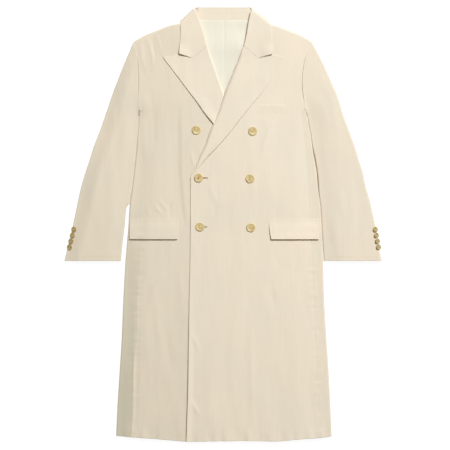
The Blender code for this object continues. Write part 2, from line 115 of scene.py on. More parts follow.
# Edges of the body below the armholes, and the side seams of the fronts
BODY = table("y edge_right edge_left seam_right seam_left", [
    (-572, -289, 294, -248, 262), (-491, -285, 290, -242, 259), (-397, -279, 285, -241, 254),
    (-319, -274, 280, -234, 250), (-221, -270, 274, -232, 246), (-127, -265, 271, -225, 242),
    (-59, -260, 269, -222, 239), (-16, -256, 267, -221, 237), (46, -252, 263, -219, 234),
    (113, -243, 254, -216, 230), (194, -234, 243, -213, 224), (248, -228, 235, -212, 219),
    (302, -224, 224, -212, 212),
])

# The hem and the shoulders, as heights at places across the coat
HEM = table("x height", [
    (-292, -578), (-238, -582), (-170, -587), (-100, -593), (-20, -592), (73, -591), (150, -592),
    (208, -587), (262, -583), (296, -579),
])
SHOULDER = table("x height", [
    (66, 557), (90, 546), (112, 537), (125, 535), (146, 530), (167, 522), (205, 507), (235, 491),
    (243, 484),
])
ARMHOLE = table("y right left", [
    (302, -224, 224), (343, -227, 216), (378, -227, 213), (416, -228, 216), (451, -231, 224),
    (485, -242, 242),
])

# The left front's free edge, and the lapels
FRONT_EDGE = table("y x", [
    (-585, -99), (-454, -94.5), (-292, -92.3), (-211, -91), (-108, -89), (-14, -88), (122, -88),
])
LAPELS = table("y roll_right roll_left edge_right edge_left", [
    (122, 92, -88, 90, -85), (144, 80, -74, 71, -68), (177, 62, -63, 43, -40),
    (211, 48, -48, 13, -8), (240, 37, -38, -8, 17), (267, 28, -27, -27, 38),
    (294, 19, -15, -49, 59), (324, 9, -5, -70, 84), (351, -1, 5, -91, 107),
    (383, -12, 18, -115, 130), (416, -23, 31, -140, 148), (447, -34, 44, -162, 165),
    (473, -43, 54, -162, 165),
])
LAPEL_ROWS = table("roll_y edge_y gorge", [
    (473.6, 446, 1.0), (458, 429, 0.5), (442, 411, 0.15), (410, 373, 0), (377, 334, 0),
    (345, 299, 0), (312, 269, 0), (279, 243, 0), (248, 218, 0), (216, 193, 0), (184, 170, 0),
    (152, 147, 0), (138, 135, 0), (126, 125, 0),
])

# Dip of the notch, halfway along the collar's end, below a straight line
NOTCH_DIP = 21.0
NOTCH_OPEN = 4.0

# Where the rows of a front start at the side and end at the middle
STATIONS = table("outer inner", [
    (-572, -581), (-510, -517), (-440, -446), (-370, -374), (-300, -302), (-235, -235),
    (-170, -168), (-110, -106), (-57, -52), (-10, -5), (40, 50), (80, 92), (110, 122), (140, 152),
    (172, 184), (204, 216), (236, 248), (266, 279), (297, 312), (299.5, 316), (308, 325),
    (325, 345), (352, 377), (379, 410), (405, 442), (425, 472.6), (440, 490), (452, 510),
    (465, 530), (478, 546.5),
])
BOW_FROM = 18

COLLAR_ROWS = table("turn fold_x fold_y outer_x outer_y gorge", [
    (90, 49, 474.2, 126, 453.5, 1.0), (90, 53, 489, 125, 471, 0.4), (90, 58, 510, 123, 490, 0),
    (90, 63, 532, 122, 506, 0), (90, 69, 554, 121, 519, 0), (90, 74, 570, 121, 528, 0),
    (45, 79, 575, 121, 539, 0), (0, 81, 577, 121, 543, 0), (-45, 79.5, 579, 120, 539, 0),
    (-90, 75, 580, 118, 529, 0), (-90, 60, 580, 98, 520, 0), (-90, 33, 580, 60, 514, 0),
    (-90, 0, 580, 0, 512, 0),
])
STAND_ROWS = table("y half", [
    (543, 69), (551, 71), (560, 73), (568, 75), (578.4, 75),
])
STAND_LOW = 5.0
STAND_TUCK = 2.6

# Middle of the collar between two heights, and how far its outer edge is off it
COLLAR_MIDDLE = (6.0, 1.5)
COLLAR_MIDDLE_Y = (500, 570)
COLLAR_SHIFT = 1.8

# Where the coat lies on the fall of its collar
COLLAR_ZONE = 122.0
COLLAR_ZONE_FROM = 516.0
COLLAR_ZONE_RAMP = 90.0

SLEEVE_ROWS = table("inner_y right_x left_x outer_y gap_right gap_left curve", [
    (-105, -429, 429, -105, 12, 2, 0), (-57, -418, 420.5, -60, 11.5, 0.6, 0),
    (-10, -405, 411, -6, 10, 0.3, 0), (40, -393, 398.5, 52, 7.5, 0.3, 0),
    (52, -389.9, 394.6, 66.5, 0.4, 0.3, 0), (80, -382, 385, 100, 0.4, 0.8, 0),
    (110, -370.5, 377, 138, 0.3, 3.0, 0), (140, -358, 365.5, 175, 0.3, 4.2, 0),
    (172, -346.5, 354, 212, 0.3, 3.0, 0), (204, -331.5, 340, 250, 0.3, 0.3, 0),
    (236, -317, 324.5, 292, 0.3, 0.3, 0), (266, -302.5, 311.5, 335, 0.4, 0.4, 0.03),
    (281, -288, 295, 375, 0.8, 0.8, 0.18), (292, -268.5, 273.5, 425, 1.2, 1.2, 0.5),
    (302, -243, 243, 485, 2, 2, 1),
])
FLAPS = table("node side x_in x_out top bottom slant corner", [
    ("pocket_flap_right", RIGHT, -121, -252.5, 9, -46, 0, 4.0),
    ("pocket_flap_left", LEFT, 124, 259, 9, -46, 6, 1.0),
])
FLAP_ROOT = 30.0
FLAP_GAP = 0.3
FLAP_LIFT = {LEFT: 4.3, RIGHT: 3.2}
WELT_X = (90, 178)
WELT_Y = (292, 316)
WELT_ROOT = 24.0
WELT_GAP = 0.1
LINING_FOOT = 338.0
LINING_MARGIN = 22.0
LINING_MARGIN_TOP = 8.0
LINING_TOP = 544.5
LINING_RISE = (3.0, 6.5)
PLEAT_PLACE = 3.0
PLEAT_DEPTH = 0.35
PLEAT_WIDTH = 5.0
FRONT_BUTTONS = [(-72, 248), (80, 245), (-66, 119), (73, 117), (-62, -13), (75, -15)]

# Crossing of the dart on the wearer's right, and how far the cloth rises over it
DART = table("y x", [
    (-25, -107), (0, -109), (65, -116), (127, -121.5), (352, -122.5),
])
DART_RISE = 2.3
DART_WIDTH = 13.0
DART_FADE = 55.0
DART_FOOT = (-30, 40)
DART_TOP = (352, 232)

# Lift of the free edges that throw the dark lines
LOFT = {LEFT: 1.0, RIGHT: 2.0}
SLEEVE_LOFT = 2.5
SLEEVE_FALL = {LEFT: 0.4, RIGHT: 9.0}
SLEEVE_WIDTH = 44.0
SLEEVE_STEP = 1.15
LEAST_GAP = 0.3
ARM_TOP = 485.0
HEAD_FALL = 1.0
LAPEL_LIFT = 3.0
COLLAR_LIFT = 0.3
CORNER_LIFT = 5.5
SHOULDER_RISE = 2.0
EDGE_OPEN = 3.4
OPEN_BELOW = (-120, -420)
OPEN_WIDTH = 16.0
LAPEL_SHARE = 0.75

# Where the sides of the skirt start to fall, and where the hem starts to shape the rows
SKIRT = (60, -60)
FOOT = -572.0
FOOT_REACH = 40.0

# Slow waves of all the cloth, calmer over the chest and waist
WAVES = table("seed height pitch_x pitch_y", [
    (1, 0.75, 46, 150), (2, 0.42, 21, 85), (3, 0.16, 9, 30),
])
CALM = 0.6

# Puckers along the side seams, the hem and the cuffs: height, reach and pitch
SEAM_PUCKER = {LEFT: 0.4, RIGHT: 0.6}
SEAM_REACH = 13.0
SEAM_PITCH = 8.5
SEAM_TOP = (40, -20)
HEM_PUCKER = 1.8
HEM_REACH = 22.0
HEM_PITCH = 15.0
CUFF_PUCKER = 0.35
CUFF_REACH = 18.0
CUFF_PITCH = 9.0
CUFF = -105.0

# Creases and folds in the cloth: from, to, height above the cloth, half width, sideways bend
TIP = 0.04
TAPER = 0.6
FOLDS = table("x0 y0 x1 y1 height width bend", [
    # Wearer's right shoulder and chest
    (-223, 490, -205, 400, 1.0, 5, 4), (-205, 498, -190, 425, 0.9, 5, -3),
    (-188, 500, -180, 440, -0.8, 5, 3), (-176, 500, -165, 455, 0.6, 5, 0),
    (-212, 330, -205, 160, 1.0, 9, 5), (-196, 350, -186, 200, -0.8, 8, -4),
    # Beside the dart
    (-150, 330, -146, 60, 0.7, 14, 3),
    # Pocket on the wearer's right
    (-184, 46, -166, 25, 1.2, 4, 2), (-172, 60, -150, 30, 1.0, 4, 0),
    (-143, 48, -143, 14, -1.2, 3.5, 1), (-205, 40, -196, 14, 0.8, 4, 0),
    # Chest of the left front
    (140, 281, 105, 181, 1.3, 7, 5), (-19, 181, -43, 135, -1.0, 4, 2),
    (-86, 189, -78, 146, 1.2, 3.5, 0), (-35, 111, -16, 51, 0.9, 7, 4),
    (-16, 51, -24, 14, -0.8, 6, 2), (120, 150, 128, 60, 0.6, 14, 4),
    # Skirt
    (-157, -130, -197, -224, 1.6, 13, 6), (-149, -292, -138, -405, -1.3, 11, 5),
    (-178, -210, -170, -330, 1.0, 9, 4), (-120, -120, -112, -260, 1.0, 9, -3),
    (-86, -481, -65, -521, 1.6, 4.5, 0), (-84, -300, -66, -345, 1.0, 5, 0),
    (78, -305, 84, -560, 1.1, 8, 4), (78, 200, 84, 20, 0.7, 9, 2),
    (130, -150, 142, -235, -1.0, 9, 5), (30, -160, 22, -420, 0.8, 22, -8),
    (190, -120, 205, -480, 0.8, 24, 8), (-20, -230, -30, -560, 0.7, 22, 6),
    (-238, -250, -247, -585, 1.2, 3.5, 0), (-231, -300, -236, -580, -0.8, 5, 0),
    # Sleeves
    (-262, 400, -300, 260, 1.2, 12, 8), (-270, 300, -305, 130, -0.9, 12, -6),
    (-320, 200, -352, 20, 1.0, 13, 5), (-290, 60, -310, -80, 0.8, 12, 4),
    (262, 410, 302, 262, 0.8, 12, -8), (286, 250, 322, 60, -0.8, 13, 6),
    (335, 130, 360, -50, 0.8, 14, -5), (300, 30, 312, -85, 0.7, 12, 3),
])


def clamp(value, low=0.0, high=1.0):
    return np.minimum(np.maximum(value, low), high)


def lerp(a, b, t):
    return a + (b - a) * t


def ease(t):
    t = clamp(t)
    return t * t * (3 - 2 * t)


def soft(value, start, end):
    """A soft step from 0 at start to 1 at end."""
    return ease((value - start) / (end - start))


def band(distance, reach):
    return np.exp(-(distance / reach) ** 2)


def by_side(x, pair):
    return np.where(x > 0, pair[LEFT], pair[RIGHT])


def cells(width):
    """How many steps of the mesh fit in a width."""
    return int(width / STEP)


def smooth(keys, values):
    """A smooth curve through values at keys, held level outside them."""
    keys = np.array(keys, float)
    values = np.array(values, float)
    slopes = np.empty_like(values)
    slopes[1:-1] = (values[2:] - values[:-2]) / (keys[2:] - keys[:-2])
    slopes[0] = (values[1] - values[0]) / (keys[1] - keys[0])
    slopes[-1] = (values[-1] - values[-2]) / (keys[-1] - keys[-2])

    def at(y):
        y = np.clip(y, keys[0], keys[-1])
        i = np.clip(np.searchsorted(keys, y, side="right") - 1, 0, len(keys) - 2)
        span = keys[i + 1] - keys[i]
        t = (y - keys[i]) / span
        return ((2 * t**3 - 3 * t**2 + 1) * values[i] + (t**3 - 2 * t**2 + t) * span * slopes[i]
                + (3 * t**2 - 2 * t**3) * values[i + 1]
                + (t**3 - t**2) * span * slopes[i + 1])
    return at


def column(rows, name):
    """A smooth curve through one column of a table, over its first column."""
    return smooth([row[0] for row in rows], [getattr(row, name) for row in rows])


def name_of(side):
    return "left" if side == LEFT else "right"


def both(rows, prefix=""):
    return {side: column(rows, prefix + name_of(side)) for side in (LEFT, RIGHT)}


BODY_EDGE = both(BODY, "edge_")
SIDE_SEAM = both(BODY, "seam_")
ARM_CURVE = both(ARMHOLE)
ROLL_LINE = both(LAPELS, "roll_")
LAPEL_EDGE = both(LAPELS, "edge_")
HEM_LINE = column(HEM, "height")
SHOULDER_LINE = column(SHOULDER, "height")
FREE_EDGE = column(FRONT_EDGE, "x")
DART_LINE = column(DART, "x")
COLLAR_FOLD = smooth([row.fold_y for row in COLLAR_ROWS if row.turn == 90],
                     [row.fold_x for row in COLLAR_ROWS if row.turn == 90])


def collar_outer(side, outer_x, outer_y):
    return collar_middle(outer_y) + COLLAR_SHIFT + side * outer_x


def collar_middle(y):
    return lerp(*COLLAR_MIDDLE, soft(y, *COLLAR_MIDDLE_Y))


def collar_fold(side, y):
    return collar_middle(y) + side * COLLAR_FOLD(y)


def shoulder(x):
    return SHOULDER_LINE(np.abs(x))


def fold_line(side, y):
    """The edge that a front is folded back along: free edge, then roll line, then collar."""
    low = FREE_EDGE(y) if side == LEFT else UNDER_LAP
    return np.where(y > GORGE, collar_fold(side, y), np.where(y > BREAK, ROLL_LINE[side](y), low))


# Heights of the laid cloth

def floor_height(x, y):
    """Underside of the coat: on the ground, and on the collar's fall behind the neck."""
    across = ease(1 - (np.abs(x - collar_middle(y)) - COLLAR_ZONE) / COLLAR_ZONE_RAMP)
    along = ease(1 - (COLLAR_ZONE_FROM - y) / COLLAR_ZONE_RAMP)
    return (FACING + REST) * across * along


def inside_edge(x, y):
    return np.where(x > 0, BODY_EDGE[LEFT](y) - x, x - BODY_EDGE[RIGHT](y))


def edge_drop(x, y):
    """How much lower the cloth is beside the edges of the body and the shoulders."""
    inside = inside_edge(x, y)
    at_side = (1 - ease(inside / EDGE_WIDTH)) * soft(y, ARMPIT + 20, ARMPIT - 20)
    at_shoulder = 1 - ease((shoulder(x) - y) / EDGE_WIDTH)
    more = by_side(x, SIDE_DROP) * soft(y, *SKIRT) * (1 - ease(inside / SIDE_WIDTH))
    return np.maximum(by_side(x, EDGE_DROP) * at_side, EDGE_DROP[RIGHT] * at_shoulder) + more


def hollow(x, y):
    """Room between the back and the fronts, less where the fronts overlap."""
    outside = np.maximum(np.maximum(fold_line(LEFT, y) - x, x - fold_line(RIGHT, y)), 0)
    return lerp(HOLLOW, HOLLOW_LAP, 1 - ease(outside / LAP_RAMP))


def grain(seed, along, pitch):
    """Smooth uneven values between -1 and 1 along a line."""
    steps = np.random.RandomState(seed).uniform(-1, 1, 256)
    place = np.asarray(along) / pitch + 97.3
    i = np.floor(place).astype(int)
    t = ease(place - i)
    return lerp(steps[i % 256], steps[(i + 1) % 256], t)


def cloud(seed, x, y, pitch_x, pitch_y):
    """Smooth uneven values between -1 and 1 over the cloth."""
    table = np.random.RandomState(seed).uniform(-1, 1, (64, 64))
    px, py = x / pitch_x + 31.7, y / pitch_y + 29.3
    i, j = np.floor(px).astype(int), np.floor(py).astype(int)
    s, t = ease(px - i), ease(py - j)
    near = lerp(table[i % 64, j % 64], table[(i + 1) % 64, j % 64], s)
    far = lerp(table[i % 64, (j + 1) % 64], table[(i + 1) % 64, (j + 1) % 64], s)
    return lerp(near, far, t)


def dart(x, y):
    """The cloth rises towards the middle where the dart is sewn."""
    across = x - DART_LINE(y)
    low = np.where(across < 0, band(across, DART_FADE), 1 - ease(across / DART_WIDTH))
    return -DART_RISE * low * soft(y, *DART_FOOT) * soft(y, *DART_TOP)


def relief(x, y):
    """Height of the creases, folds and seam puckers above the smooth cloth."""
    calm = 1 - CALM * soft(x, -110, -50) * soft(y, -60, 60) * soft(x, 330, 270)
    total = 0
    for wave in WAVES:
        total = total + wave.height * calm * cloud(wave.seed, x, y, wave.pitch_x, wave.pitch_y)
    for fold in FOLDS:
        dx, dy = fold.x1 - fold.x0, fold.y1 - fold.y0
        length = math.hypot(dx, dy)
        t = ((x - fold.x0) * dx + (y - fold.y0) * dy) / length**2
        across = ((x - fold.x0) * dy - (y - fold.y0) * dx) / length
        inside = clamp(t)
        across = across - fold.bend * np.sin(math.pi * inside)
        outside = np.abs(t - inside) * length
        taper = np.sin(math.pi * clamp(inside, TIP, 1 - TIP)) ** TAPER
        total = total + fold.height * band(across, fold.width) * taper * band(outside, fold.width)
    total = total + dart(x, y)
    for side in (LEFT, RIGHT):
        seam = band(x - SIDE_SEAM[side](y), SEAM_REACH) * soft(y, *SEAM_TOP)
        total = total + SEAM_PUCKER[side] * seam * grain(5 + side, y, SEAM_PITCH)
    hem = HEM_PUCKER * band(y - HEM_LINE(x), HEM_REACH) * grain(9, x, HEM_PITCH)
    total = total + np.where((np.abs(x) < 300) & (y < -400), hem, 0)
    cuff = CUFF_PUCKER * band(y - CUFF, CUFF_REACH) * grain(11, x, CUFF_PITCH)
    return total + np.where((np.abs(x) > 262) & (y < 0), cuff, 0)


def loft(x, y):
    """How much higher the wadded body stands than its edges."""
    inside = inside_edge(x, y)
    from_side = lerp(soft(inside, 8, 66), 1.0, soft(y, ARMPIT - 60, ARMPIT + 30))
    risen = LOFT[RIGHT] - by_side(x, LOFT) * (1 - from_side)
    return risen + SHOULDER_RISE * (1 - ease((shoulder(x) - y) / EDGE_WIDTH))


def right_top(x, y):
    """Outer surface of a single front on the back."""
    flat = floor_height(x, y) + 2 * WALL + hollow(x, y) - edge_drop(x, y)
    return flat + loft(x, y) + relief(x, y)


def past_ramp(distance):
    return 1 - ease((distance - LAP_MARGIN) / LAP_RAMP)


def left_top(x, y):
    """Outer surface of the left front, which also lies on the right one and its lapel."""
    past_front = x - fold_line(RIGHT, y)
    off_lapel = LAPEL_SHARE * (LAPEL_EDGE[RIGHT](y) - x)
    past_lapel = np.maximum(np.maximum(past_front, off_lapel), BREAK - y)
    lift = (CLOTH + LAID) * past_ramp(past_front) + (FACING_CLOTH + REST) * past_ramp(past_lapel)
    open_edge = EDGE_OPEN * soft(y, *OPEN_BELOW) * (1 - ease((x - FREE_EDGE(y)) / OPEN_WIDTH))
    return right_top(x, y) + lift + open_edge


TOP = {LEFT: left_top, RIGHT: right_top}


# Meshes

def place(name, data):
    obj = bpy.data.objects.new(name, data)
    bpy.context.scene.collection.objects.link(obj)
    return obj


def ride(obj, node=None):
    """Makes an object a piece of the coat, in its node's place where it has one."""
    if node is not None:
        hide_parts(node)
    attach(obj, "root")
    return obj


def mesh_of(name, made, *paints):
    """Turns what was built into a mesh."""
    mesh = bpy.data.meshes.new(name)
    made.to_mesh(mesh)
    made.free()
    for paint in paints:
        mesh.materials.append(paint)
    return mesh


def grid_normals(points):
    """Unit normals of a grid of points."""
    along = np.gradient(points, axis=0)
    across = np.gradient(points, axis=1)
    normals = np.cross(across, along)
    size = np.linalg.norm(normals, axis=2, keepdims=True)
    return normals / np.maximum(size, 1e-9)


# Radii of the rims of the sheets, and the places of the extra points across a rim
RIM = 1.2
SEWN = 0.05
SHARP = 0.25
WELT_RIM = 0.5
LINING_RIM = 0.4
RIM_PLACES = np.array([0.0, 0.12, 0.4, 1.0, 1.9])
RIM_SHARE = 2.4


def with_border(points, rims):
    """The same grid with close rows and columns at its four borders, for a rounded edge."""
    for axis in (0, 1):
        points = np.swapaxes(points, 0, axis)
        for flip in (False, True):
            radius = rims[2 * axis + flip]
            shares = RIM_PLACES * radius
            points = points[::-1] if flip else points
            step = np.linalg.norm(points[1] - points[0], axis=1)
            share = shares[:, None] / np.maximum(step, RIM_SHARE * radius)[None, :]
            extra = points[0][None] + (points[1] - points[0])[None] * share[:, :, None]
            points = np.concatenate([extra, points[1:]])
            points = points[::-1] if flip else points
        points = np.swapaxes(points, 0, axis)
    return points


def rim_share(points, rims):
    """How far each point of a grid is from its borders along the cloth, as a share of the rims."""
    down = np.linalg.norm(np.diff(points, axis=0), axis=2)
    right = np.linalg.norm(np.diff(points, axis=1), axis=2)
    rows, columns = points.shape[:2]
    top = np.vstack([np.zeros((1, columns)), np.cumsum(down, axis=0)])
    left = np.hstack([np.zeros((rows, 1)), np.cumsum(right, axis=1)])
    ends = np.minimum(top / rims[0], (top[-1:] - top) / rims[1])
    sides = np.minimum(left / rims[2], (left[:, -1:] - left) / rims[3])
    return clamp(np.minimum(ends, sides))


def cut_size(points):
    """Width, length and area of the cloth of a grid when it is laid out flat, in metres."""
    down = np.linalg.norm(np.diff(points, axis=0), axis=2).sum(axis=0).max()
    right = np.linalg.norm(np.diff(points, axis=1), axis=2).sum(axis=1).max()
    a, b, c, d = points[:-1, :-1], points[:-1, 1:], points[1:, 1:], points[1:, :-1]
    area = 0.5 * np.linalg.norm(np.cross(c - a, d - b), axis=2).sum()
    return right * MM, down * MM, area * MM * MM


def shell(node, rows, wall, paint, rests_on, up=True, probe=0.5, relief_at=None, rims=(RIM,) * 4):
    """A sheet of cloth with a rounded rim, from a grid of points on its outer surface.

    The rims are the radii at the first and last rows and the first and last columns.
    """
    rows = np.array(rows, float)
    normals = grid_normals(rows)
    spot = normals[rows.shape[0] // 2, int(probe * (rows.shape[1] - 1))]
    if (spot[2] > 0) != up:
        rows = rows[:, ::-1]
        rims = (rims[0], rims[1], rims[3], rims[2])
    if relief_at is not None:
        normals = grid_normals(rows)
        facing = soft(normals[:, :, 2:], 0.1, 0.7)
        rows = rows + normals * facing * relief_at(rows[:, :, 0], rows[:, :, 1])[:, :, None]
    points = with_border(rows, rims)
    normals = grid_normals(points)
    inside = rim_share(points, rims)
    half = (wall / 2) * np.sqrt(1 - (1 - inside) ** 2)[:, :, None]
    middle = points - normals * wall / 2
    outer, inner = middle + normals * half, middle - normals * half
    count_r, count_c = points.shape[:2]
    index = np.arange(count_r * count_c).reshape(count_r, count_c)
    rim = np.zeros((count_r, count_c), bool)
    rim[0] = rim[-1] = rim[:, 0] = rim[:, -1] = True
    under = np.where(rim, index, 0)
    under[~rim] = index.size + np.arange((~rim).sum())
    verts = np.concatenate([outer.reshape(-1, 3), inner[~rim]]) * MM
    verts[:, 2] = np.maximum(verts[:, 2], 0)
    faces = []
    for grid, flip in ((index, False), (under, True)):
        quads = np.stack([grid[:-1, :-1], grid[:-1, 1:], grid[1:, 1:], grid[1:, :-1]], axis=2)
        quads = quads.reshape(-1, 4)
        faces.append(quads[:, ::-1] if flip else quads)
    mesh = bpy.data.meshes.new("cloth_" + node)
    mesh.from_pydata(verts.tolist(), [], np.concatenate(faces).tolist())
    mesh.validate()
    mesh.shade_smooth()
    mesh.materials.append(paint)
    obj = ride(place("cloth_" + node, mesh), node)
    width, length, area = cut_size(rows)


# Angles on a rounded edge: 90 is on top, 0 at the outline, -90 underneath
TURN_ANGLES = np.linspace(90, -90, 11)


def turned(start, reach, low, high, angles=TURN_ANGLES):
    """The lines of points along a rounded edge, one for each angle."""
    lines = []
    for a in [math.radians(angle) for angle in angles]:
        lines.append(stack(start[0] + reach[0] * math.cos(a), start[1] + reach[1] * math.cos(a),
                           (high + low) / 2 + (high - low) / 2 * math.sin(a)))
    return lines


def fine_index(keys, step):
    """Places between table rows so that neighbouring values are about a step apart."""
    keys = np.array(keys, float)
    places = []
    for i in range(len(keys) - 1):
        count = max(1, int(math.ceil(abs(keys[i + 1] - keys[i]) / step)))
        places += [i + k / count for k in range(count)]
    return np.array(places + [len(keys) - 1.0])


def at_index(rows, name, index):
    return np.interp(index, np.arange(len(rows)), [getattr(row, name) for row in rows])


def stack(x, y, z):
    return np.stack(np.broadcast_arrays(x, y, z), axis=-1)


def lines_between(start, end):
    """Lengths and directions of the lines between two rows of points."""
    length = np.linalg.norm(end - start, axis=1)
    return length, (end - start) / length[:, None]


# Body

def at_foot(y):
    """How much a row follows the hem."""
    return band(y - FOOT, FOOT_REACH)


def edge_turn(side, y):
    """Radius of a folded edge: sharper under the right arm and in the wedge beside the left."""
    if side == RIGHT:
        return lerp(TURN, CLOSED_TURN, soft(y, 200, 240))
    sharper = lerp(TURN, ARM_TURN, soft(y, 190, 230))
    return lerp(sharper, WEDGE_TURN, band(y - WEDGE_PLACE, WEDGE_REACH))


def side_panel(side, paint):
    tops = [station.outer for station in STATIONS if station.outer < SIDE_TOP]
    levels = np.array(tops + [SIDE_TOP])
    index = fine_index(levels, STEP)
    level = np.interp(index, np.arange(len(levels)), levels)
    top = TOP[side]
    edge = BODY_EDGE[side](level)
    turn = edge_turn(side, level)
    start = edge - side * turn
    seam = SIDE_SEAM[side](level) + side * SEAM / 2
    top_share = soft(level, SIDE_TOP - 14, SIDE_TOP)

    def height_of(x):
        rise = lerp(*SIDE_RISE, (x - seam) / (edge - seam))
        return level + at_foot(level) * (HEM_LINE(x) - FOOT) + top_share * rise

    columns = []
    count = max(6, cells(45))
    for k in range(count):
        x = lerp(seam, start, k / count)
        y = height_of(x)
        columns.append(stack(x, y, top(x, y)))
    high = top(start, height_of(start))
    columns += turned((start, height_of(edge)), (side * turn, 0), 0, high)
    columns.append(stack(edge - side * TUCK, height_of(edge), 0))
    rows = np.stack(columns, axis=1)
    shell("side_panel_" + name_of(side), rows, CLOTH, paint, ["back"], probe=0.1,
          rims=(RIM, SEWN, SEWN, RIM))


def front_inner(side, y):
    """The inner edge of a front, tucked into the fold of its lapel or of the collar."""
    low = fold_line(side, y) + side * FOLD_INSET * soft(y, BREAK, BREAK + 28)
    return np.where(y > GORGE, collar_fold(side, y + TURN) + side * FOLD_INSET, low)


def front(side, paint):
    top = TOP[side]
    index = fine_index([station.outer for station in STATIONS], STEP)
    outer = at_index(STATIONS, "outer", index)
    inner = at_index(STATIONS, "inner", index)
    last = STATIONS[-1]
    bow = ease((index - BOW_FROM) / (len(STATIONS) - 1 - BOW_FROM))
    tip = shoulder(ARM_CURVE[side](last.outer)) - TURN - last.outer
    x_out = np.where(outer < SIDE_TOP + 2, SIDE_SEAM[side](outer),
                     ARM_CURVE[side](outer + bow * tip))
    x_out = (x_out - side * SEAM / 2)[:, None]
    x_in = front_inner(side, inner)[:, None]
    u = np.linspace(0, 1, cells(330) + 1)[None, :]
    x = lerp(x_out, x_in, u)
    y = lerp(outer[:, None], inner[:, None], u)
    y = y + at_foot(outer)[:, None] * (HEM_LINE(x[0]) - y[0])[None, :]
    line = lerp(last.outer, last.inner, u)
    y = y + bow[:, None] * (shoulder(x[-1:]) - TURN - line)
    rows = stack(x, y, top(x, y))
    edge_row = rows[-1]
    floor = floor_height(edge_row[:, 0], edge_row[:, 1])
    extra = turned((edge_row[:, 0], edge_row[:, 1]), (0, TURN), floor, edge_row[:, 2],
                   TURN_ANGLES[1:])
    extra.append(stack(edge_row[:, 0] * TUCK_SHARE, edge_row[:, 1] + TURN - TUCK + 1, floor))
    rows = np.concatenate([rows, np.stack(extra)])
    under = ["back", "front_right"] if side == LEFT else ["back"]
    shell("front_" + name_of(side), rows, CLOTH, paint, under, probe=0.3,
          rims=(RIM, RIM, SEWN, RIM))


def back_top(x):
    return np.minimum(NECKLINE, shoulder(x) - TUCK - 8)


def back(paint):
    tops = [station.outer for station in STATIONS if station.outer < BACK_TOP] + [BACK_TOP]
    levels = []
    for value in tops:
        if value < SIDE_TOP + 2:
            levels.append(value if value < SIDE_TOP else value + 1.5)
        else:
            levels.append(max(value, SIDE_TOP + 8))
    levels = np.array(sorted(set(levels)))
    index = fine_index(levels, BACK_STEP)
    level = np.interp(index, np.arange(len(levels)), levels)
    wide = level < SIDE_TOP + 3
    ends = []
    for side in (RIGHT, LEFT):
        ends.append(np.where(wide, BODY_EDGE[side](level) - side * (TUCK + SEAM),
                             ARM_CURVE[side](level) - side * ARM_SEAM)[:, None])
    u = np.linspace(0, 1, 45)[None, :]
    x = lerp(ends[0], ends[1], u)
    x_top = lerp(ARM_CURVE[RIGHT](BACK_TOP), ARM_CURVE[LEFT](BACK_TOP), u)
    rise = soft(level, 240, BACK_TOP)[:, None]
    y = level[:, None] + rise * np.maximum(0, back_top(x_top) - BACK_TOP)
    hem = HEM_LINE(x[0]) + HEM_BACK_SHORTER
    y = y + at_foot(level)[:, None] * (hem - y[0])[None, :]
    rows = stack(x, y, floor_height(x, y))
    shell("back", rows, CLOTH, paint, [], up=False)


# Sleeves

def sleeve_height(side, inner, outer, head=0):
    """Outer surface of a sleeve over the ground, from the distances to its two edges."""
    fall = (EDGE_DROP[RIGHT] + SLEEVE_LOFT) * (1 - ease(inner / EDGE_WIDTH)) * (1 - head)
    far_fall = lerp(SLEEVE_FALL[side], HEAD_FALL, head) * (1 - ease(outer / SLEEVE_WIDTH))
    return 2 * WALL + HOLLOW + SLEEVE_LOFT - np.maximum(fall, far_fall)


def sleeve(side, paint):
    index = fine_index([row.outer_y for row in SLEEVE_ROWS], STEP * SLEEVE_STEP)
    places = np.arange(len(SLEEVE_ROWS))

    def value(name):
        return smooth(places, [getattr(row, name) for row in SLEEVE_ROWS])(index)

    inner_y, outer_y, curve = value("inner_y"), value("outer_y"), clamp(value("curve"))
    gap = np.maximum(value("gap_" + name_of(side)), LEAST_GAP)
    turn = edge_turn(side, inner_y)
    start_x = BODY_EDGE[side](inner_y) + side * gap
    start_x = lerp(start_x, ARM_CURVE[side](ARMPIT) + side * ARM_SEAM,
                   soft(inner_y, ARMPIT - 10, ARMPIT))
    end_x = value(name_of(side) + "_x") + side * ARM_SEAM
    start = np.stack([start_x, inner_y], axis=1)
    end = np.stack([end_x, outer_y], axis=1)
    length, along = lines_between(start, end)
    arm_line = ARM_CURVE[side]

    def plan(distance):
        share = clamp(distance / length)
        point = start + along * np.broadcast_to(distance, length.shape)[:, None]
        y = lerp(ARMPIT, ARM_TOP, share)
        straight = lerp(arm_line(ARMPIT), arm_line(ARM_TOP), share)
        return point[:, 0] + curve * (arm_line(y) - straight), point[:, 1]

    def height(distance):
        return sleeve_height(side, distance + gap, length - distance, curve)

    inner, outer = plan(turn), plan(length - TURN)
    high = height(turn * np.ones_like(length))
    columns = [stack(*plan(TUCK), 0)]
    columns += turned(inner, (-along[:, 0] * turn, -along[:, 1] * turn), 0, high, TURN_ANGLES[::-1])
    high = height(length - TURN)
    count = cells(140)
    for k in range(1, count):
        distance = lerp(turn, length - TURN, k / count)
        columns.append(stack(*plan(distance), height(distance)))
    columns += turned(outer, (along[:, 0] * TURN, along[:, 1] * TURN), 0, high)
    columns.append(stack(*plan(length - TUCK), 0))
    name = "sleeve_" + name_of(side)
    shell(name + "_upper", np.stack(columns, axis=1), CLOTH, paint, [name + "_under"],
          relief_at=relief)
    cover = soft(np.abs(inner_y - WEDGE_PLACE), 80, 68) if side == LEFT else 0
    near = TUCK + SEAM - (TUCK + WEDGE_COVER) * cover
    columns = [stack(*plan(lerp(near, length - TUCK - SEAM, share)), 0)
               for share in np.linspace(0, 1, 15)]
    shell(name + "_under", np.stack(columns, axis=1), CLOTH, paint, [], up=False)


# Lapels and collar

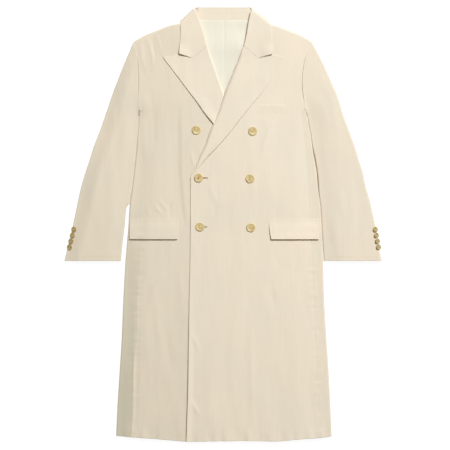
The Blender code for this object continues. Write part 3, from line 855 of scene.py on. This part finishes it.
def rolled(base, along, outward, drop, radius):
    """Points of a fold's rounded edge, from its hidden end to where the flat part starts."""
    points = [base - outward * drop, base - outward * lerp(drop, radius, 0.5)]
    for k in range(9):
        a = math.pi / 2 * k / 8
        points.append(base + along * radius * (1 - math.cos(a))
                      - outward * radius * (1 - math.sin(a)))
    return points


def collar_end(side):
    """The collar's lower end: from where its fold stops rounding to its outer corner."""
    row = COLLAR_ROWS[0]
    start = np.array([collar_middle(row.fold_y) + side * row.fold_x, row.fold_y])
    end = np.array([collar_outer(side, row.outer_x, row.outer_y), row.outer_y])
    return start + (end - start) * ROLL / np.linalg.norm(end - start), end


def gorge_height(side, x):
    """The upper edge of a lapel: along the collar to the notch, then out to the peak."""
    start, end = collar_end(side)
    notch = (start + end) / 2 - (0, NOTCH_DIP)
    tip = np.array([float(LAPEL_EDGE[side](LAPEL_ROWS[0].edge_y)), LAPEL_ROWS[0].edge_y])
    corners = np.array([start, notch, end - (0, NOTCH_OPEN), tip])
    return np.interp(side * x, side * corners[:, 0], corners[:, 1]) - GORGE_GAP


def lapel(side, paint):
    top = TOP[side]
    index = fine_index([row.edge_y for row in LAPEL_ROWS], STEP)
    roll_y = at_index(LAPEL_ROWS, "roll_y", index)
    edge_y = at_index(LAPEL_ROWS, "edge_y", index)
    gorge = at_index(LAPEL_ROWS, "gorge", index)
    start = np.stack([fold_line(side, roll_y), roll_y], axis=1)
    end = np.stack([LAPEL_EDGE[side](edge_y), edge_y], axis=1)
    length, along = lines_between(start, end)
    wide = lerp(SOFT_ROLL, ROLL, soft(roll_y, GORGE - 45, GORGE - 5)) if side == LEFT else ROLL
    radius = np.minimum(wide, 0.45 * length)[:, None]
    wrap = soft(roll_y, BREAK, BREAK + 40)
    stack_up = (LAID + FACING_CLOTH) * soft(roll_y, BREAK - 2, BREAK + 22)
    drop = np.maximum(lerp(FACING, FACING + REST + WALL, wrap)[:, None], radius + 0.4)
    inset = start + along * radius
    high = top(inset[:, 0], inset[:, 1]) + stack_up
    base = np.column_stack([start, high])
    along3 = np.column_stack([along, np.zeros(len(along))])
    columns = rolled(base, along3, np.array([[0, 0, 1.0]]), drop, radius)
    count = cells(125)
    free = soft(roll_y, BREAK + 20, BREAK + 80)
    free = free * lerp(0.12, 1.0, soft(roll_y, GORGE - 60, GORGE - 170))
    for k in range(1, count + 1):
        share = k / count
        x, y = lerp(inset, end, share).T
        y = y - gorge * (lerp(inset[0, 1], end[0, 1], share) - gorge_height(side, x[0]))
        lift = LAPEL_LIFT * soft(share, 0.55, 1) * free
        columns.append(stack(x, y, top(x, y) + stack_up + lift))
    shell("lapel_" + name_of(side), np.stack(columns, axis=1), FACING_CLOTH, paint,
          ["front_" + name_of(side)], probe=0.8, rims=(SHARP, SEWN, SEWN, SHARP))


def collar_fall(paint):
    """The outer collar: on the fronts, round the sides of the neck, and under the back."""
    folds = np.array([(row.fold_x, row.fold_y) for row in COLLAR_ROWS])
    chord = np.concatenate([[0], np.cumsum(np.linalg.norm(np.diff(folds, axis=0), axis=1))])
    index = fine_index(chord, STEP)
    place = np.interp(index, np.arange(len(chord)), chord)

    def value(name):
        return smooth(chord, [getattr(row, name) for row in COLLAR_ROWS])(place)

    turn = at_index(COLLAR_ROWS, "turn", index)
    gorge = at_index(COLLAR_ROWS, "gorge", index)
    count = cells(80) + 2
    halves = []
    for side in (RIGHT, LEFT):
        fold_x, fold_y = value("fold_x"), np.minimum(value("fold_y"), 580)
        outer_x, outer_y = value("outer_x"), value("outer_y")
        start = np.stack([collar_middle(fold_y) + side * fold_x, fold_y], axis=1)
        end = np.stack([collar_outer(side, outer_x, outer_y), outer_y], axis=1)
        flat = lines_between(start, end)[1]
        a = np.radians(turn)[:, None]
        aside = np.stack([-flat[:, 1], flat[:, 0]], axis=1)
        aside = np.where((aside[:, :1] * side < 0), -aside, aside)
        outward = np.hstack([aside * np.cos(a), np.sin(a)])
        along3 = np.column_stack([flat, np.zeros(len(flat))])
        level = (1 + np.sin(a[:, 0])) / 2

        def height(x, y):
            return level * (TOP[side](x, y) + LAID + FACING_CLOTH)

        inset = start + flat * ROLL
        base = np.column_stack([start, height(inset[:, 0], inset[:, 1])])
        under = lerp(STAND_LOW + FACING, FACING + REST + WALL - 0.3, soft(turn, -45, 0))
        columns = rolled(base, along3, outward, under[:, None], ROLL)
        for k in range(1, count + 1):
            share = k / count
            x, y = lerp(inset, end, share).T
            y = y - gorge * NOTCH_DIP * (1 - abs(2 * share - 1))
            corner = CORNER_LIFT * soft(share, 0.45, 1) * soft(y, 486, 448)
            lift = COLLAR_LIFT * soft(share, 0.5, 1) + corner
            columns.append(stack(x, y, height(x, y) + lift * soft(turn, 45, 90)))
        rows = np.stack(columns, axis=1)
        halves.append(rows if side == RIGHT else rows[-2::-1])
    rows = np.concatenate(halves)
    shell("collar_fall", rows, FACING_CLOTH, paint, ["front_right", "front_left"],
          up=False, probe=0.7, rims=(SHARP, SHARP, SEWN, SHARP))


def collar_stand(paint):
    y = np.linspace(STAND_ROWS[-1].y, STAND_ROWS[0].y, cells(34) + 2)[:, None]
    half = column(STAND_ROWS, "half")(y)
    u = np.linspace(-1, 1, cells(136) + 1)[None, :]
    x = collar_middle(y) + half * u
    tucked = STAND_TUCK * soft(np.abs(u), 0.9, 0.97) * soft(y, 560, 572)
    rows = stack(x, y, STAND_LOW + FACING - tucked)
    shell("collar_stand", rows, FACING_CLOTH, paint, ["back"], rims=(SEWN,) * 4)


# What lies on the fronts and in the neck

def flap_top(shape, x, y):
    """Outer surface of a flap: flush at its seam, rising to its free edge."""
    share = (shape.top - y) / (shape.top - shape.bottom)
    rise = FLAP_CLOTH * ease((shape.top - y) / FLAP_ROOT) + FLAP_LIFT[shape.side] * share**2
    return TOP[shape.side](x, y) + FLAP_GAP + rise


def flap(shape, paint):
    share = np.concatenate([np.linspace(0, 1, cells(56) + 2), [0.9, 0.94, 0.97, 0.99]])
    share = np.unique(share)[:, None]
    y = lerp(shape.top, shape.bottom, share)
    below = np.maximum(0, shape.corner - (y - shape.bottom))
    corner = shape.corner - np.sqrt(np.maximum(0, shape.corner**2 - below**2))
    x_in = shape.x_in + shape.side * (corner + shape.slant * share * share)
    x_out = np.full_like(x_in, shape.x_out)
    u = np.linspace(0, 1, cells(135) + 1)[None, :]
    x = lerp(x_in, x_out, u)
    shell(shape.node, stack(x, y, flap_top(shape, x, y)), FLAP_CLOTH, paint,
          ["front_" + name_of(shape.side)], rims=(SHARP,) * 4)


def welt(paint):
    y = np.linspace(WELT_Y[1], WELT_Y[0], cells(24) + 3)[:, None]
    x = np.linspace(*WELT_X, cells(88) + 2)[None, :]
    sewn = np.minimum(np.minimum(x - WELT_X[0], WELT_X[1] - x), y - WELT_Y[0])
    rows = stack(x, y, left_top(x, y) + WELT_GAP + WELT_WALL * ease(sewn / WELT_ROOT))
    shell("breast_welt", rows, WELT_WALL, paint, ["front_left"],
          rims=(WELT_RIM, SHARP, SHARP, SHARP))


def lining(paint):
    y = np.linspace(LINING_FOOT, LINING_TOP, cells(206) + 2)[:, None]
    margin = lerp(LINING_MARGIN, LINING_MARGIN_TOP, soft(y, 480, 530))
    x_right = np.minimum(fold_line(RIGHT, y), 0) - margin
    x_left = np.maximum(fold_line(LEFT, y), 4) + margin
    u = np.linspace(0, 1, cells(150) * 2)[None, :]
    x = lerp(x_right, x_left, u)
    crease = np.maximum(0, 1 - np.abs(x - PLEAT_PLACE) / PLEAT_WIDTH)
    pleat = -PLEAT_DEPTH * soft(y, 370, 430) * crease
    puff = 0.3 * cloud(21, x, y, 34, 60) + 0.12 * cloud(22, x, y, 13, 40)
    raised = lerp(*LINING_RISE, ease(2 * u - 1)) * soft(y, 520, 460) + 0.5 * soft(y, 525, 540)
    z = floor_height(x, y) + WALL + REST + LINING + pleat + puff + raised
    shell("lining_back", stack(x, y, z), LINING, paint, ["back"],
          rims=(SEWN, LINING_RIM, SEWN, SEWN))


# Buttons, buttonholes and stitches

BUTTON_PROFILE = table("radius height", [
    (0, 2.3), (3.6, 2.3), (7.0, 2.4), (8.2, 2.75), (9.0, 3.1), (10.2, 3.4), (11.3, 3.2),
    (11.9, 2.6), (12.0, 2.0), (11.6, 1.1), (10.4, 0.3), (9.0, 0), (0, 0),
])
CUFF_PROFILE = table("radius height", [
    (0, 2.1), (4.0, 2.2), (5.0, 2.8), (6.2, 3.1), (7.1, 2.8), (7.5, 2.2), (7.2, 1.0), (6.2, 0.1),
    (0, 0),
])
HOLES = 4
HOLE_RADIUS = 0.75
HOLE_REACH = 2.3

# How wide a button feels for its seat, and how deep it sinks into the cloth
SEAT_SHARE = 0.8
SEAT_SINK = 0.7
SEWING_RADIUS = 0.4


def button_mesh(name, profile, segments, paint):
    """A turned button with four holes cut through it."""
    made = bmesh.new()
    points = [made.verts.new((row.radius * MM, 0, row.height * MM)) for row in profile]
    edges = [made.edges.new(pair) for pair in zip(points, points[1:])]
    bmesh.ops.spin(made, geom=points + edges, cent=(0, 0, 0), axis=(0, 0, 1), angle=math.tau,
                   steps=segments, use_merge=True)
    bmesh.ops.remove_doubles(made, verts=made.verts, dist=0.00001)
    bmesh.ops.recalc_face_normals(made, faces=made.faces)
    cutter = bmesh.new()
    for k in range(HOLES):
        a = math.tau * (k + 0.5) / HOLES
        spot = Matrix.Translation((HOLE_REACH * MM * math.cos(a), HOLE_REACH * MM * math.sin(a), 0))
        bmesh.ops.create_cone(cutter, segments=14, radius1=HOLE_RADIUS * MM,
                              radius2=HOLE_RADIUS * MM, depth=0.02, cap_ends=True, matrix=spot)
    body = place(name + "_blank", mesh_of(name + "_blank", made))
    drill = place(name + "_drill", mesh_of(name + "_holes", cutter))
    cut = body.modifiers.new("holes", "BOOLEAN")
    cut.object = drill
    cut.operation = "DIFFERENCE"
    cut.solver = "EXACT"
    graph = bpy.context.evaluated_depsgraph_get()
    done = bpy.data.meshes.new_from_object(body.evaluated_get(graph))
    done.name = name
    bpy.data.objects.remove(body)
    bpy.data.objects.remove(drill)
    done.shade_smooth()
    done.set_sharp_from_angle(angle=math.radians(50))
    done.materials.clear()
    done.materials.append(paint)
    return done


def tube(made, points, radius, sides=6):
    """Adds a closed tube along points in millimetres, thinner at its two ends."""
    rings = []
    points = [Vector(point) for point in points]
    for i, point in enumerate(points):
        ahead = points[min(i + 1, len(points) - 1)] - points[max(i - 1, 0)]
        across = ahead.cross(Vector((0, 0, 1)))
        if across.length < 1e-6:
            across = Vector((1, 0, 0))
        across.normalize()
        over = across.cross(ahead).normalized()
        size = radius * (0.45 if i in (0, len(points) - 1) else 1)
        ring = []
        for k in range(sides):
            a = math.tau * k / sides
            place_at = point + (across * math.cos(a) + over * math.sin(a)) * size
            ring.append(made.verts.new(place_at * MM))
        rings.append(ring)
    for near, far in zip(rings, rings[1:]):
        for k in range(sides):
            made.faces.new((near[k], near[(k + 1) % sides], far[(k + 1) % sides], far[k]))
    made.faces.new(rings[0][::-1])
    made.faces.new(rings[-1])


def thread_piece(name, made, paint):
    """Turns what was built into a piece that rides on the coat."""
    bmesh.ops.recalc_face_normals(made, faces=made.faces)
    mesh = mesh_of(name, made, paint)
    mesh.shade_smooth()
    ride(place(name, mesh))


def at_spot(surface, x, y):
    return float(surface(np.float64(x), np.float64(y)))


def seat(surface, x, y, profile):
    """The spot and the normal of a button resting on the highest points of a surface."""
    radius = max(row.radius for row in profile)
    reach = radius * SEAT_SHARE

    def at(px, py):
        return at_spot(surface, px, py)

    normal = Vector((at(x - reach, y) - at(x + reach, y), at(x, y - reach) - at(x, y + reach),
                     2 * reach)).normalized()
    middle = Vector((x, y, at(x, y)))
    rise = 0
    for ring in (0.5, 1.0):
        for k in range(12):
            a = math.tau * k / 12
            px, py = x + ring * radius * math.cos(a), y + ring * radius * math.sin(a)
            rise = max(rise, (Vector((px, py, at(px, py))) - middle).dot(normal))
    return middle + normal * (rise - SEAT_SINK), normal


def sewn_button(node, mesh, seated, spin, profile, thread):
    """A button on its node's place, with a cross of thread through its holes."""
    spot, normal = seated
    level = profile[0].height
    turn = Vector((0, 0, 1)).rotation_difference(normal).to_matrix().to_4x4()
    matrix = Matrix.Translation(spot * MM) @ turn @ Matrix.Rotation(math.radians(spin), 4, "Z")
    obj = place("horn_" + node, mesh)
    obj.matrix_world = matrix
    ride(obj, node)
    made = bmesh.new()
    for k in range(2):
        a = math.tau * (k + 0.5) / HOLES
        x, y = HOLE_REACH * math.cos(a), HOLE_REACH * math.sin(a)
        for shift in (-0.3, 0.3):
            sx, sy = -shift * math.sin(a), shift * math.cos(a)
            path = ((1, -1.6), (0.93, 0.1), (0, 0.45 + 0.25 * k), (-0.93, 0.1), (-1, -1.6))
            tube(made, [(sx + share * x, sy + share * y, level + up) for share, up in path],
                 SEWING_RADIUS)
    bmesh.ops.transform(made, matrix=matrix, verts=made.verts)
    thread_piece("thread_" + node, made, thread)


def front_buttons(horn, threads):
    mesh = button_mesh("front_button", BUTTON_PROFILE, 48, horn)
    for number, (x, y) in enumerate(FRONT_BUTTONS):
        surface = left_top if x > float(fold_line(LEFT, np.float64(y))) else right_top
        seated = seat(surface, x, y, BUTTON_PROFILE)
        sewn_button("button_front_%d" % (number + 1), mesh, seated, 17 + 29 * number,
                    BUTTON_PROFILE, threads[number])


CUFF_BUTTONS = 4
CUFF_BUTTON_FIRST = -68.0
CUFF_BUTTON_STEP = 16.0
CUFF_BUTTON_INSET = {LEFT: 2.6, RIGHT: 5.5}


def sleeve_edge(side, y):
    rows = sorted(SLEEVE_ROWS, key=lambda row: row.outer_y)
    return smooth([row.outer_y for row in rows],
                  [getattr(row, name_of(side) + "_x") for row in rows])(y)


def cuff_top(side):
    """Outer surface of a sleeve near its outer edge, as a height over the ground."""
    def height(x, y):
        inside = side * (sleeve_edge(side, y) - x)
        flat = sleeve_height(side, 2 * EDGE_WIDTH, np.maximum(inside, TURN))
        across = clamp((TURN - inside) / TURN)
        return flat / 2 * (1 + np.sqrt(1 - across**2))
    return height


def cuff_buttons(horn, thread):
    mesh = button_mesh("cuff_button", CUFF_PROFILE, 36, horn)
    for side in (LEFT, RIGHT):
        for number in range(CUFF_BUTTONS):
            y = CUFF_BUTTON_FIRST + number * CUFF_BUTTON_STEP
            x = float(sleeve_edge(side, y)) - side * CUFF_BUTTON_INSET[side]
            seated = seat(cuff_top(side), x, y, CUFF_PROFILE)
            sewn_button("button_cuff_%s_%d" % (name_of(side), number + 1), mesh, seated,
                        40 * number, CUFF_PROFILE, thread)


# Length, gap and radius of a stitch, its points as shares of its length, and how high they lie
STITCH = 3.0
STITCH_GAP = 1.3
STITCH_RADIUS = 0.28
STITCH_SHARES = np.array([0.0, 0.2, 0.8, 1.0])
STITCH_LIFT = np.array([-0.35, 0.12, 0.12, -0.35])
STITCH_WOBBLE = 0.15


def stitch_line(made, surface, path):
    """Stitches lying on a surface along a path of corners."""
    random = np.random.RandomState(len(path) + int(abs(path[0][0])))
    for start, end in zip(path, path[1:]):
        start, end = np.array(start, float), np.array(end, float)
        span = np.linalg.norm(end - start)
        along = (end - start) / span
        place_at = 0.5
        while place_at + STITCH < span:
            wobble = random.uniform(-STITCH_WOBBLE, STITCH_WOBBLE, 2)
            points = start + along * (place_at + STITCH_SHARES * STITCH)[:, None] + wobble
            heights = surface(points[:, 0], points[:, 1])
            tube(made, np.column_stack([points, heights + STITCH_LIFT]), STITCH_RADIUS)
            place_at += STITCH + STITCH_GAP


BUTTONHOLES = table("button length", [
    (3, 27.5), (5, 22.0),
])
HOLE_START = 4.0
WHIP_STEP = 0.75
WHIP_LIFT = (0.15, 0.5, 0.0)
WHIP_RADIUS = 0.36
SLIT_RADIUS = 0.42


def whip(made, points):
    """One stitch over the edge of a buttonhole, from its slit outwards."""
    tube(made, [(x, y, at_spot(left_top, x, y) + lift)
                for (x, y), lift in zip(points, WHIP_LIFT)], WHIP_RADIUS, 5)


def buttonhole(number, hole, thread, dark):
    """A worked buttonhole that runs out from under its button, with whipped edges."""
    x, y = FRONT_BUTTONS[hole.button - 1]
    start, end = x - HOLE_START, x - HOLE_START + hole.length
    made = bmesh.new()
    count = int(hole.length / WHIP_STEP)
    for k in range(count + 1):
        px = lerp(start, end, k / count)
        for way in (-1, 1):
            whip(made, [(px + lean, y + way * reach)
                        for lean, reach in ((0, 0.35), (0.1, 1.1), (0.2, 1.75))])
    for angle in np.linspace(-math.pi / 2, math.pi / 2, 9):
        whip(made, [(end + reach * math.cos(angle), y + reach * math.sin(angle))
                    for reach in (0.4, 1.2, 1.9)])
    thread_piece("buttonhole_%d" % number, made, thread)
    # Painted shade: a dark tube along the cut stands for the shade inside the slit
    made = bmesh.new()
    xs = np.linspace(start, end, 9)
    heights = left_top(xs, np.full(9, float(y)))
    tube(made, np.column_stack([xs, np.full(9, float(y)), heights + 0.02]), SLIT_RADIUS)
    thread_piece("buttonhole_slit_%d" % number, made, dark)


FLAP_STITCH = 6.0
CUFF_STITCH = -94.0


def stitches(thread):
    for shape in FLAPS:
        made = bmesh.new()
        s_in, s_out = shape.side * FLAP_STITCH, -shape.side * FLAP_STITCH

        def height(x, y, shape=shape):
            return flap_top(shape, x, y)

        low = shape.bottom + FLAP_STITCH
        near, far = shape.x_in + s_in, shape.x_out + s_out
        stitch_line(made, height, [
            (near, shape.top - 1), (near + shape.slant * shape.side, low + 3),
            (near + (shape.slant + 3) * shape.side, low), (far - 3 * shape.side, low),
            (far, low + 3), (far, shape.top - 1)])
        thread_piece("stitches_" + shape.node, made, thread)
    for side in (LEFT, RIGHT):
        made = bmesh.new()
        gap = SLEEVE_ROWS[0].gap_left if side == LEFT else SLEEVE_ROWS[0].gap_right
        near = float(BODY_EDGE[side](-100.0)) + side * (gap + TURN + 3)
        far = float(sleeve_edge(side, CUFF_STITCH)) - side * (TURN + 3)

        def height(x, y, side=side):
            inner = side * (x - BODY_EDGE[side](y))
            outer = side * (sleeve_edge(side, y) - x)
            return sleeve_height(side, inner, outer) + relief(x, y)

        stitch_line(made, height, [(near, CUFF_STITCH), (far, CUFF_STITCH)])
        thread_piece("stitches_cuff_" + name_of(side), made, thread)


# Materials

CLOTH_COLOUR = (0.805, 0.722, 0.575)
CLOTH_SHADE = (0.775, 0.700, 0.560)
CLOTH_WARM = (0.830, 0.725, 0.570)

# Painted shade: the wearer's right front, flap and sleeve are a shade darker, the left sleeve and
# left side panel a little darker, and the right side panel darker still towards the hem
RIGHT_PAINTED_SHADE = (0.935, 0.935, 0.92)
PANEL_PAINTED_SHADE = (0.80, 0.82, 0.775)
LEFT_PAINTED_SHADE = (0.965, 0.965, 0.965)
PAINTED_SHADE_FADE = (-0.45, 0.12)
LINING_COLOUR = (0.815, 0.780, 0.640)
LINING_SHADE = (0.800, 0.768, 0.630)
HORN_LIGHT = (0.69, 0.55, 0.26)
HORN_DARK = (0.50, 0.36, 0.14)
CUFF_LIGHT = (0.50, 0.38, 0.15)
CUFF_DARK = (0.28, 0.19, 0.07)
THREAD_COLOUR = (0.80, 0.68, 0.40)
THREAD_SHADE = (0.75, 0.75, 0.75)
# Thread of the buttonholes, and the painted shade in their slits
HOLE_COLOUR = (0.62, 0.22, 0.08)
SLIT_PAINTED_SHADE = (0.28, 0.10, 0.05)
HOLE_COLOUR_LOW = (0.50, 0.42, 0.22)
SLIT_PAINTED_SHADE_LOW = (0.30, 0.23, 0.11)
FLOOR_COLOUR = (0.12, 0.12, 0.12)
FLOOR_GLOW = 0.925


class Nodes:
    """Adds nodes to a material one after another and links them."""

    def __init__(self, name, roughness, **settings):
        self.paint = bpy.data.materials.new(name)
        self.paint.use_nodes = True
        self.tree = self.paint.node_tree
        self.shader = self.tree.nodes["Principled BSDF"]
        self.fill(self.shader, Roughness=roughness, Sheen_Roughness=0.45, **settings)
        self.place = self.tree.nodes.new("ShaderNodeTexCoord").outputs["Object"]

    def fill(self, node, **inputs):
        """Sets or links a node's inputs; an underscore stands for a space in their names."""
        for name, value in inputs.items():
            self.give(node.inputs[name.replace("_", " ")], value)

    def give(self, target, value):
        if isinstance(value, bpy.types.NodeSocket):
            self.tree.links.new(value, target)
        elif target.type == "RGBA":
            target.default_value = (*value, 1)
        else:
            target.default_value = value

    def add(self, kind, output, **inputs):
        node = self.tree.nodes.new("ShaderNode" + kind)
        self.fill(node, **inputs)
        return node.outputs[output]

    def scaled(self, scale, turn=0.0):
        return self.add("Mapping", "Vector", Vector=self.place, Scale=scale,
                        Rotation=(0, 0, math.radians(turn)))

    def noise(self, scale, detail=3.0, stretch=(1, 1, 1), turn=0.0):
        return self.add("TexNoise", "Fac", Vector=self.scaled(stretch, turn), Scale=scale,
                        Detail=detail)

    def wave(self, scale, turn, distortion=1.0):
        return self.add("TexWave", "Fac", Vector=self.scaled((1, 1, 1), turn), Scale=scale,
                        Distortion=distortion, Detail_Scale=2.0)

    def ramp(self, factor, stops):
        node = self.tree.nodes.new("ShaderNodeValToRGB")
        elements = node.color_ramp.elements
        while len(elements) < len(stops):
            elements.new(0.5)
        for element, (place, colour) in zip(elements, stops):
            element.position = place
            element.color = (*colour, 1)
        self.fill(node, Fac=factor)
        return node.outputs["Color"]

    def mix(self, share, one, two):
        node = self.tree.nodes.new("ShaderNodeMix")
        node.data_type = "RGBA"
        wanted = {("Factor", "VALUE"): share, ("A", "RGBA"): one, ("B", "RGBA"): two}
        for item in node.inputs:
            if (item.name, item.type) in wanted:
                self.give(item, wanted[item.name, item.type])
        return [item for item in node.outputs if item.type == "RGBA"][0]

    def up_the_cloth(self, low, high):
        """A share that grows from 0 to 1 between two heights on the coat, in metres."""
        height = self.add("SeparateXYZ", "Y", Vector=self.place)
        return self.add("MapRange", "Result", From_Min=low, From_Max=high, Value=height)

    def bump(self, height, distance, strength, **before):
        return self.add("Bump", "Normal", Distance=distance, Strength=strength, Height=height,
                        **before)

    def finish(self, colour, normal):
        self.fill(self.shader, Base_Color=colour, Normal=normal)
        return self.paint


def toned(colour, painted_shade):
    return tuple(value * share for value, share in zip(colour, painted_shade))


def cloth_material(name, painted_shade=(1, 1, 1), low_painted_shade=None):
    n = Nodes(name, 0.88, Sheen_Weight=0.12)
    streaks = n.noise(26, 4, stretch=(1, 0.22, 1))
    patches = n.noise(7, 3)
    warm = n.ramp(patches, [(0.42, (0, 0, 0)), (0.66, (1, 1, 1))])

    def shades(painted_shade_tint):
        shade, base, ruddy = [toned(c, painted_shade_tint) for c in (CLOTH_SHADE, CLOTH_COLOUR, CLOTH_WARM)]
        return n.mix(warm, n.ramp(streaks, [(0.3, shade), (0.52, base), (0.75, base)]), ruddy)

    colour = shades(painted_shade)
    # Painted shade: the colour fades from the lower, darker tone at the hem to the upper one
    if low_painted_shade is not None:
        colour = n.mix(n.up_the_cloth(*PAINTED_SHADE_FADE), shades(low_painted_shade), colour)
    weave = n.bump(n.wave(330, 45, 1.5), 0.0002, 0.35)
    weave = n.bump(n.wave(330, -45, 1.5), 0.0002, 0.2, Normal=weave)
    nap = n.bump(n.noise(700, 5), 0.0006, 0.35, Normal=weave)
    slubs = n.bump(n.noise(120, 4, stretch=(1, 0.12, 1)), 0.0012, 0.3, Normal=nap)
    return n.finish(colour, slubs)


def lining_material():
    n = Nodes("lining", 0.5, Sheen_Weight=0.1)
    streaks = n.noise(60, 3, stretch=(1, 0.15, 1))
    colour = n.ramp(streaks, [(0.32, LINING_SHADE), (0.6, LINING_COLOUR)])
    twill = n.bump(n.wave(420, 60, 0.6), 0.00015, 0.4)
    return n.finish(colour, n.bump(n.noise(90, 3, stretch=(1, 0.3, 1)), 0.0012, 0.3, Normal=twill))


def horn_material(name, light, dark):
    n = Nodes(name, 0.5, Coat_Weight=0.1, Coat_Roughness=0.3)
    streaks = n.noise(160, 5, stretch=(1, 0.35, 1), turn=25)
    colour = n.ramp(streaks, [(0.34, dark), (0.5, light), (0.72, light)])
    return n.finish(colour, n.bump(n.noise(900, 3), 0.0002, 0.2))


def thread_material(name, colour):
    n = Nodes(name, 0.8, Sheen_Weight=0.1)
    twist = n.wave(900, 30, 0.5)
    # Painted shade: the thread is darker where its twist sinks in the bump
    twist_groove_shade = toned(colour, THREAD_SHADE)
    return n.finish(n.ramp(twist, [(0.2, twist_groove_shade), (0.8, colour)]), n.bump(twist, 0.0002, 0.5))


def floor_material():
    return Nodes("floor", 0.9, Base_Color=FLOOR_COLOUR, Emission_Color=(1, 1, 1),
                 Emission_Strength=FLOOR_GLOW).paint


def dress():
    cloth = cloth_material("cloth")
    # Painted shade: darker copies of the cloth for the wearer's right pieces, the left sleeve and
    # side panel, and the right side panel
    right_cloth_painted_shade = cloth_material("cloth_right", RIGHT_PAINTED_SHADE)
    left_cloth_painted_shade = cloth_material("cloth_left", LEFT_PAINTED_SHADE)
    panel_cloth_painted_shade = cloth_material("cloth_side_right_painted_shade", RIGHT_PAINTED_SHADE, PANEL_PAINTED_SHADE)
    inside = lining_material()
    back(cloth)
    lining(inside)
    for side in (RIGHT, LEFT):
        side_panel(side, panel_cloth_painted_shade if side == RIGHT else left_cloth_painted_shade)
        sleeve(side, right_cloth_painted_shade if side == RIGHT else left_cloth_painted_shade)
        lapel(side, cloth)
        front(side, right_cloth_painted_shade if side == RIGHT else cloth)
    collar_stand(cloth)
    collar_fall(cloth)
    for shape in FLAPS:
        flap(shape, right_cloth_painted_shade if shape.side == RIGHT else cloth)
    welt(cloth)
    thread = thread_material("thread", THREAD_COLOUR)
    reddish = thread_material("thread_reddish", HOLE_COLOUR)
    olive = thread_material("thread_olive", HOLE_COLOUR_LOW)
    front_buttons(horn_material("horn", HORN_LIGHT, HORN_DARK),
                  [thread, thread, reddish, thread, thread, thread])
    cuff_buttons(horn_material("horn_cuff", CUFF_LIGHT, CUFF_DARK), thread)
    buttonhole(1, BUTTONHOLES[0], reddish, thread_material("slit_painted_shade_reddish", SLIT_PAINTED_SHADE))
    buttonhole(2, BUTTONHOLES[1], olive, thread_material("slit_painted_shade_olive", SLIT_PAINTED_SHADE_LOW))
    stitches(thread)


# Floor, lights and camera

# Width, centre and level of what the camera frames, in metres
VIEW_WIDTH = 1.215
VIEW_LEVEL = 0.01
VIEW_CENTRE = (0.0054, -0.008)
LENS = 110.0
SENSOR = 36.0
FLOOR = 40.0
FLOOR_LEVEL = -0.0005

# Where each lamp stands, in metres from the coat's middle, its size, power and colour
LAMPS = table("name place size power colour", [
    ("key", (2.6, 4.9, 6.2), 0.5, 620.0, (1.0, 1.02, 1.07)),
    ("fill", (1.5, 0.1, 1.6), 1.6, 5.0, (1.0, 1.0, 1.0)),
])
SKY_STRENGTH = 0.28
SKY_COLOUR = (1.0, 0.94, 0.84)


def studio():
    mesh = bpy.data.meshes.new("floor")
    mesh.from_pydata([(-FLOOR, -FLOOR, 0), (FLOOR, -FLOOR, 0), (FLOOR, FLOOR, 0),
                       (-FLOOR, FLOOR, 0)], [], [(0, 1, 2, 3)])
    mesh.materials.append(floor_material())
    floor = place("floor", mesh)
    floor.location.z = FLOOR_LEVEL
    world = bpy.data.worlds.new("studio")
    world.use_nodes = True
    sky = world.node_tree.nodes["Background"]
    sky.inputs["Color"].default_value = (*SKY_COLOUR, 1)
    sky.inputs["Strength"].default_value = SKY_STRENGTH
    bpy.context.scene.world = world
    bpy.context.scene.view_settings.view_transform = "Standard"
    for lamp in LAMPS:
        light = place(lamp.name, bpy.data.lights.new(lamp.name, "AREA"))
        light.data.energy = lamp.power
        light.data.color = lamp.colour
        light.data.size = lamp.size
        light.location = lamp.place
        light.rotation_euler = (-Vector(lamp.place)).to_track_quat("-Z", "Y").to_euler()
    camera = place("camera", bpy.data.cameras.new("camera"))
    camera.data.lens = LENS
    camera.data.sensor_width = SENSOR
    camera.location = (*VIEW_CENTRE, VIEW_WIDTH * LENS / SENSOR + VIEW_LEVEL)
    bpy.context.scene.camera = camera


dress()
studio()
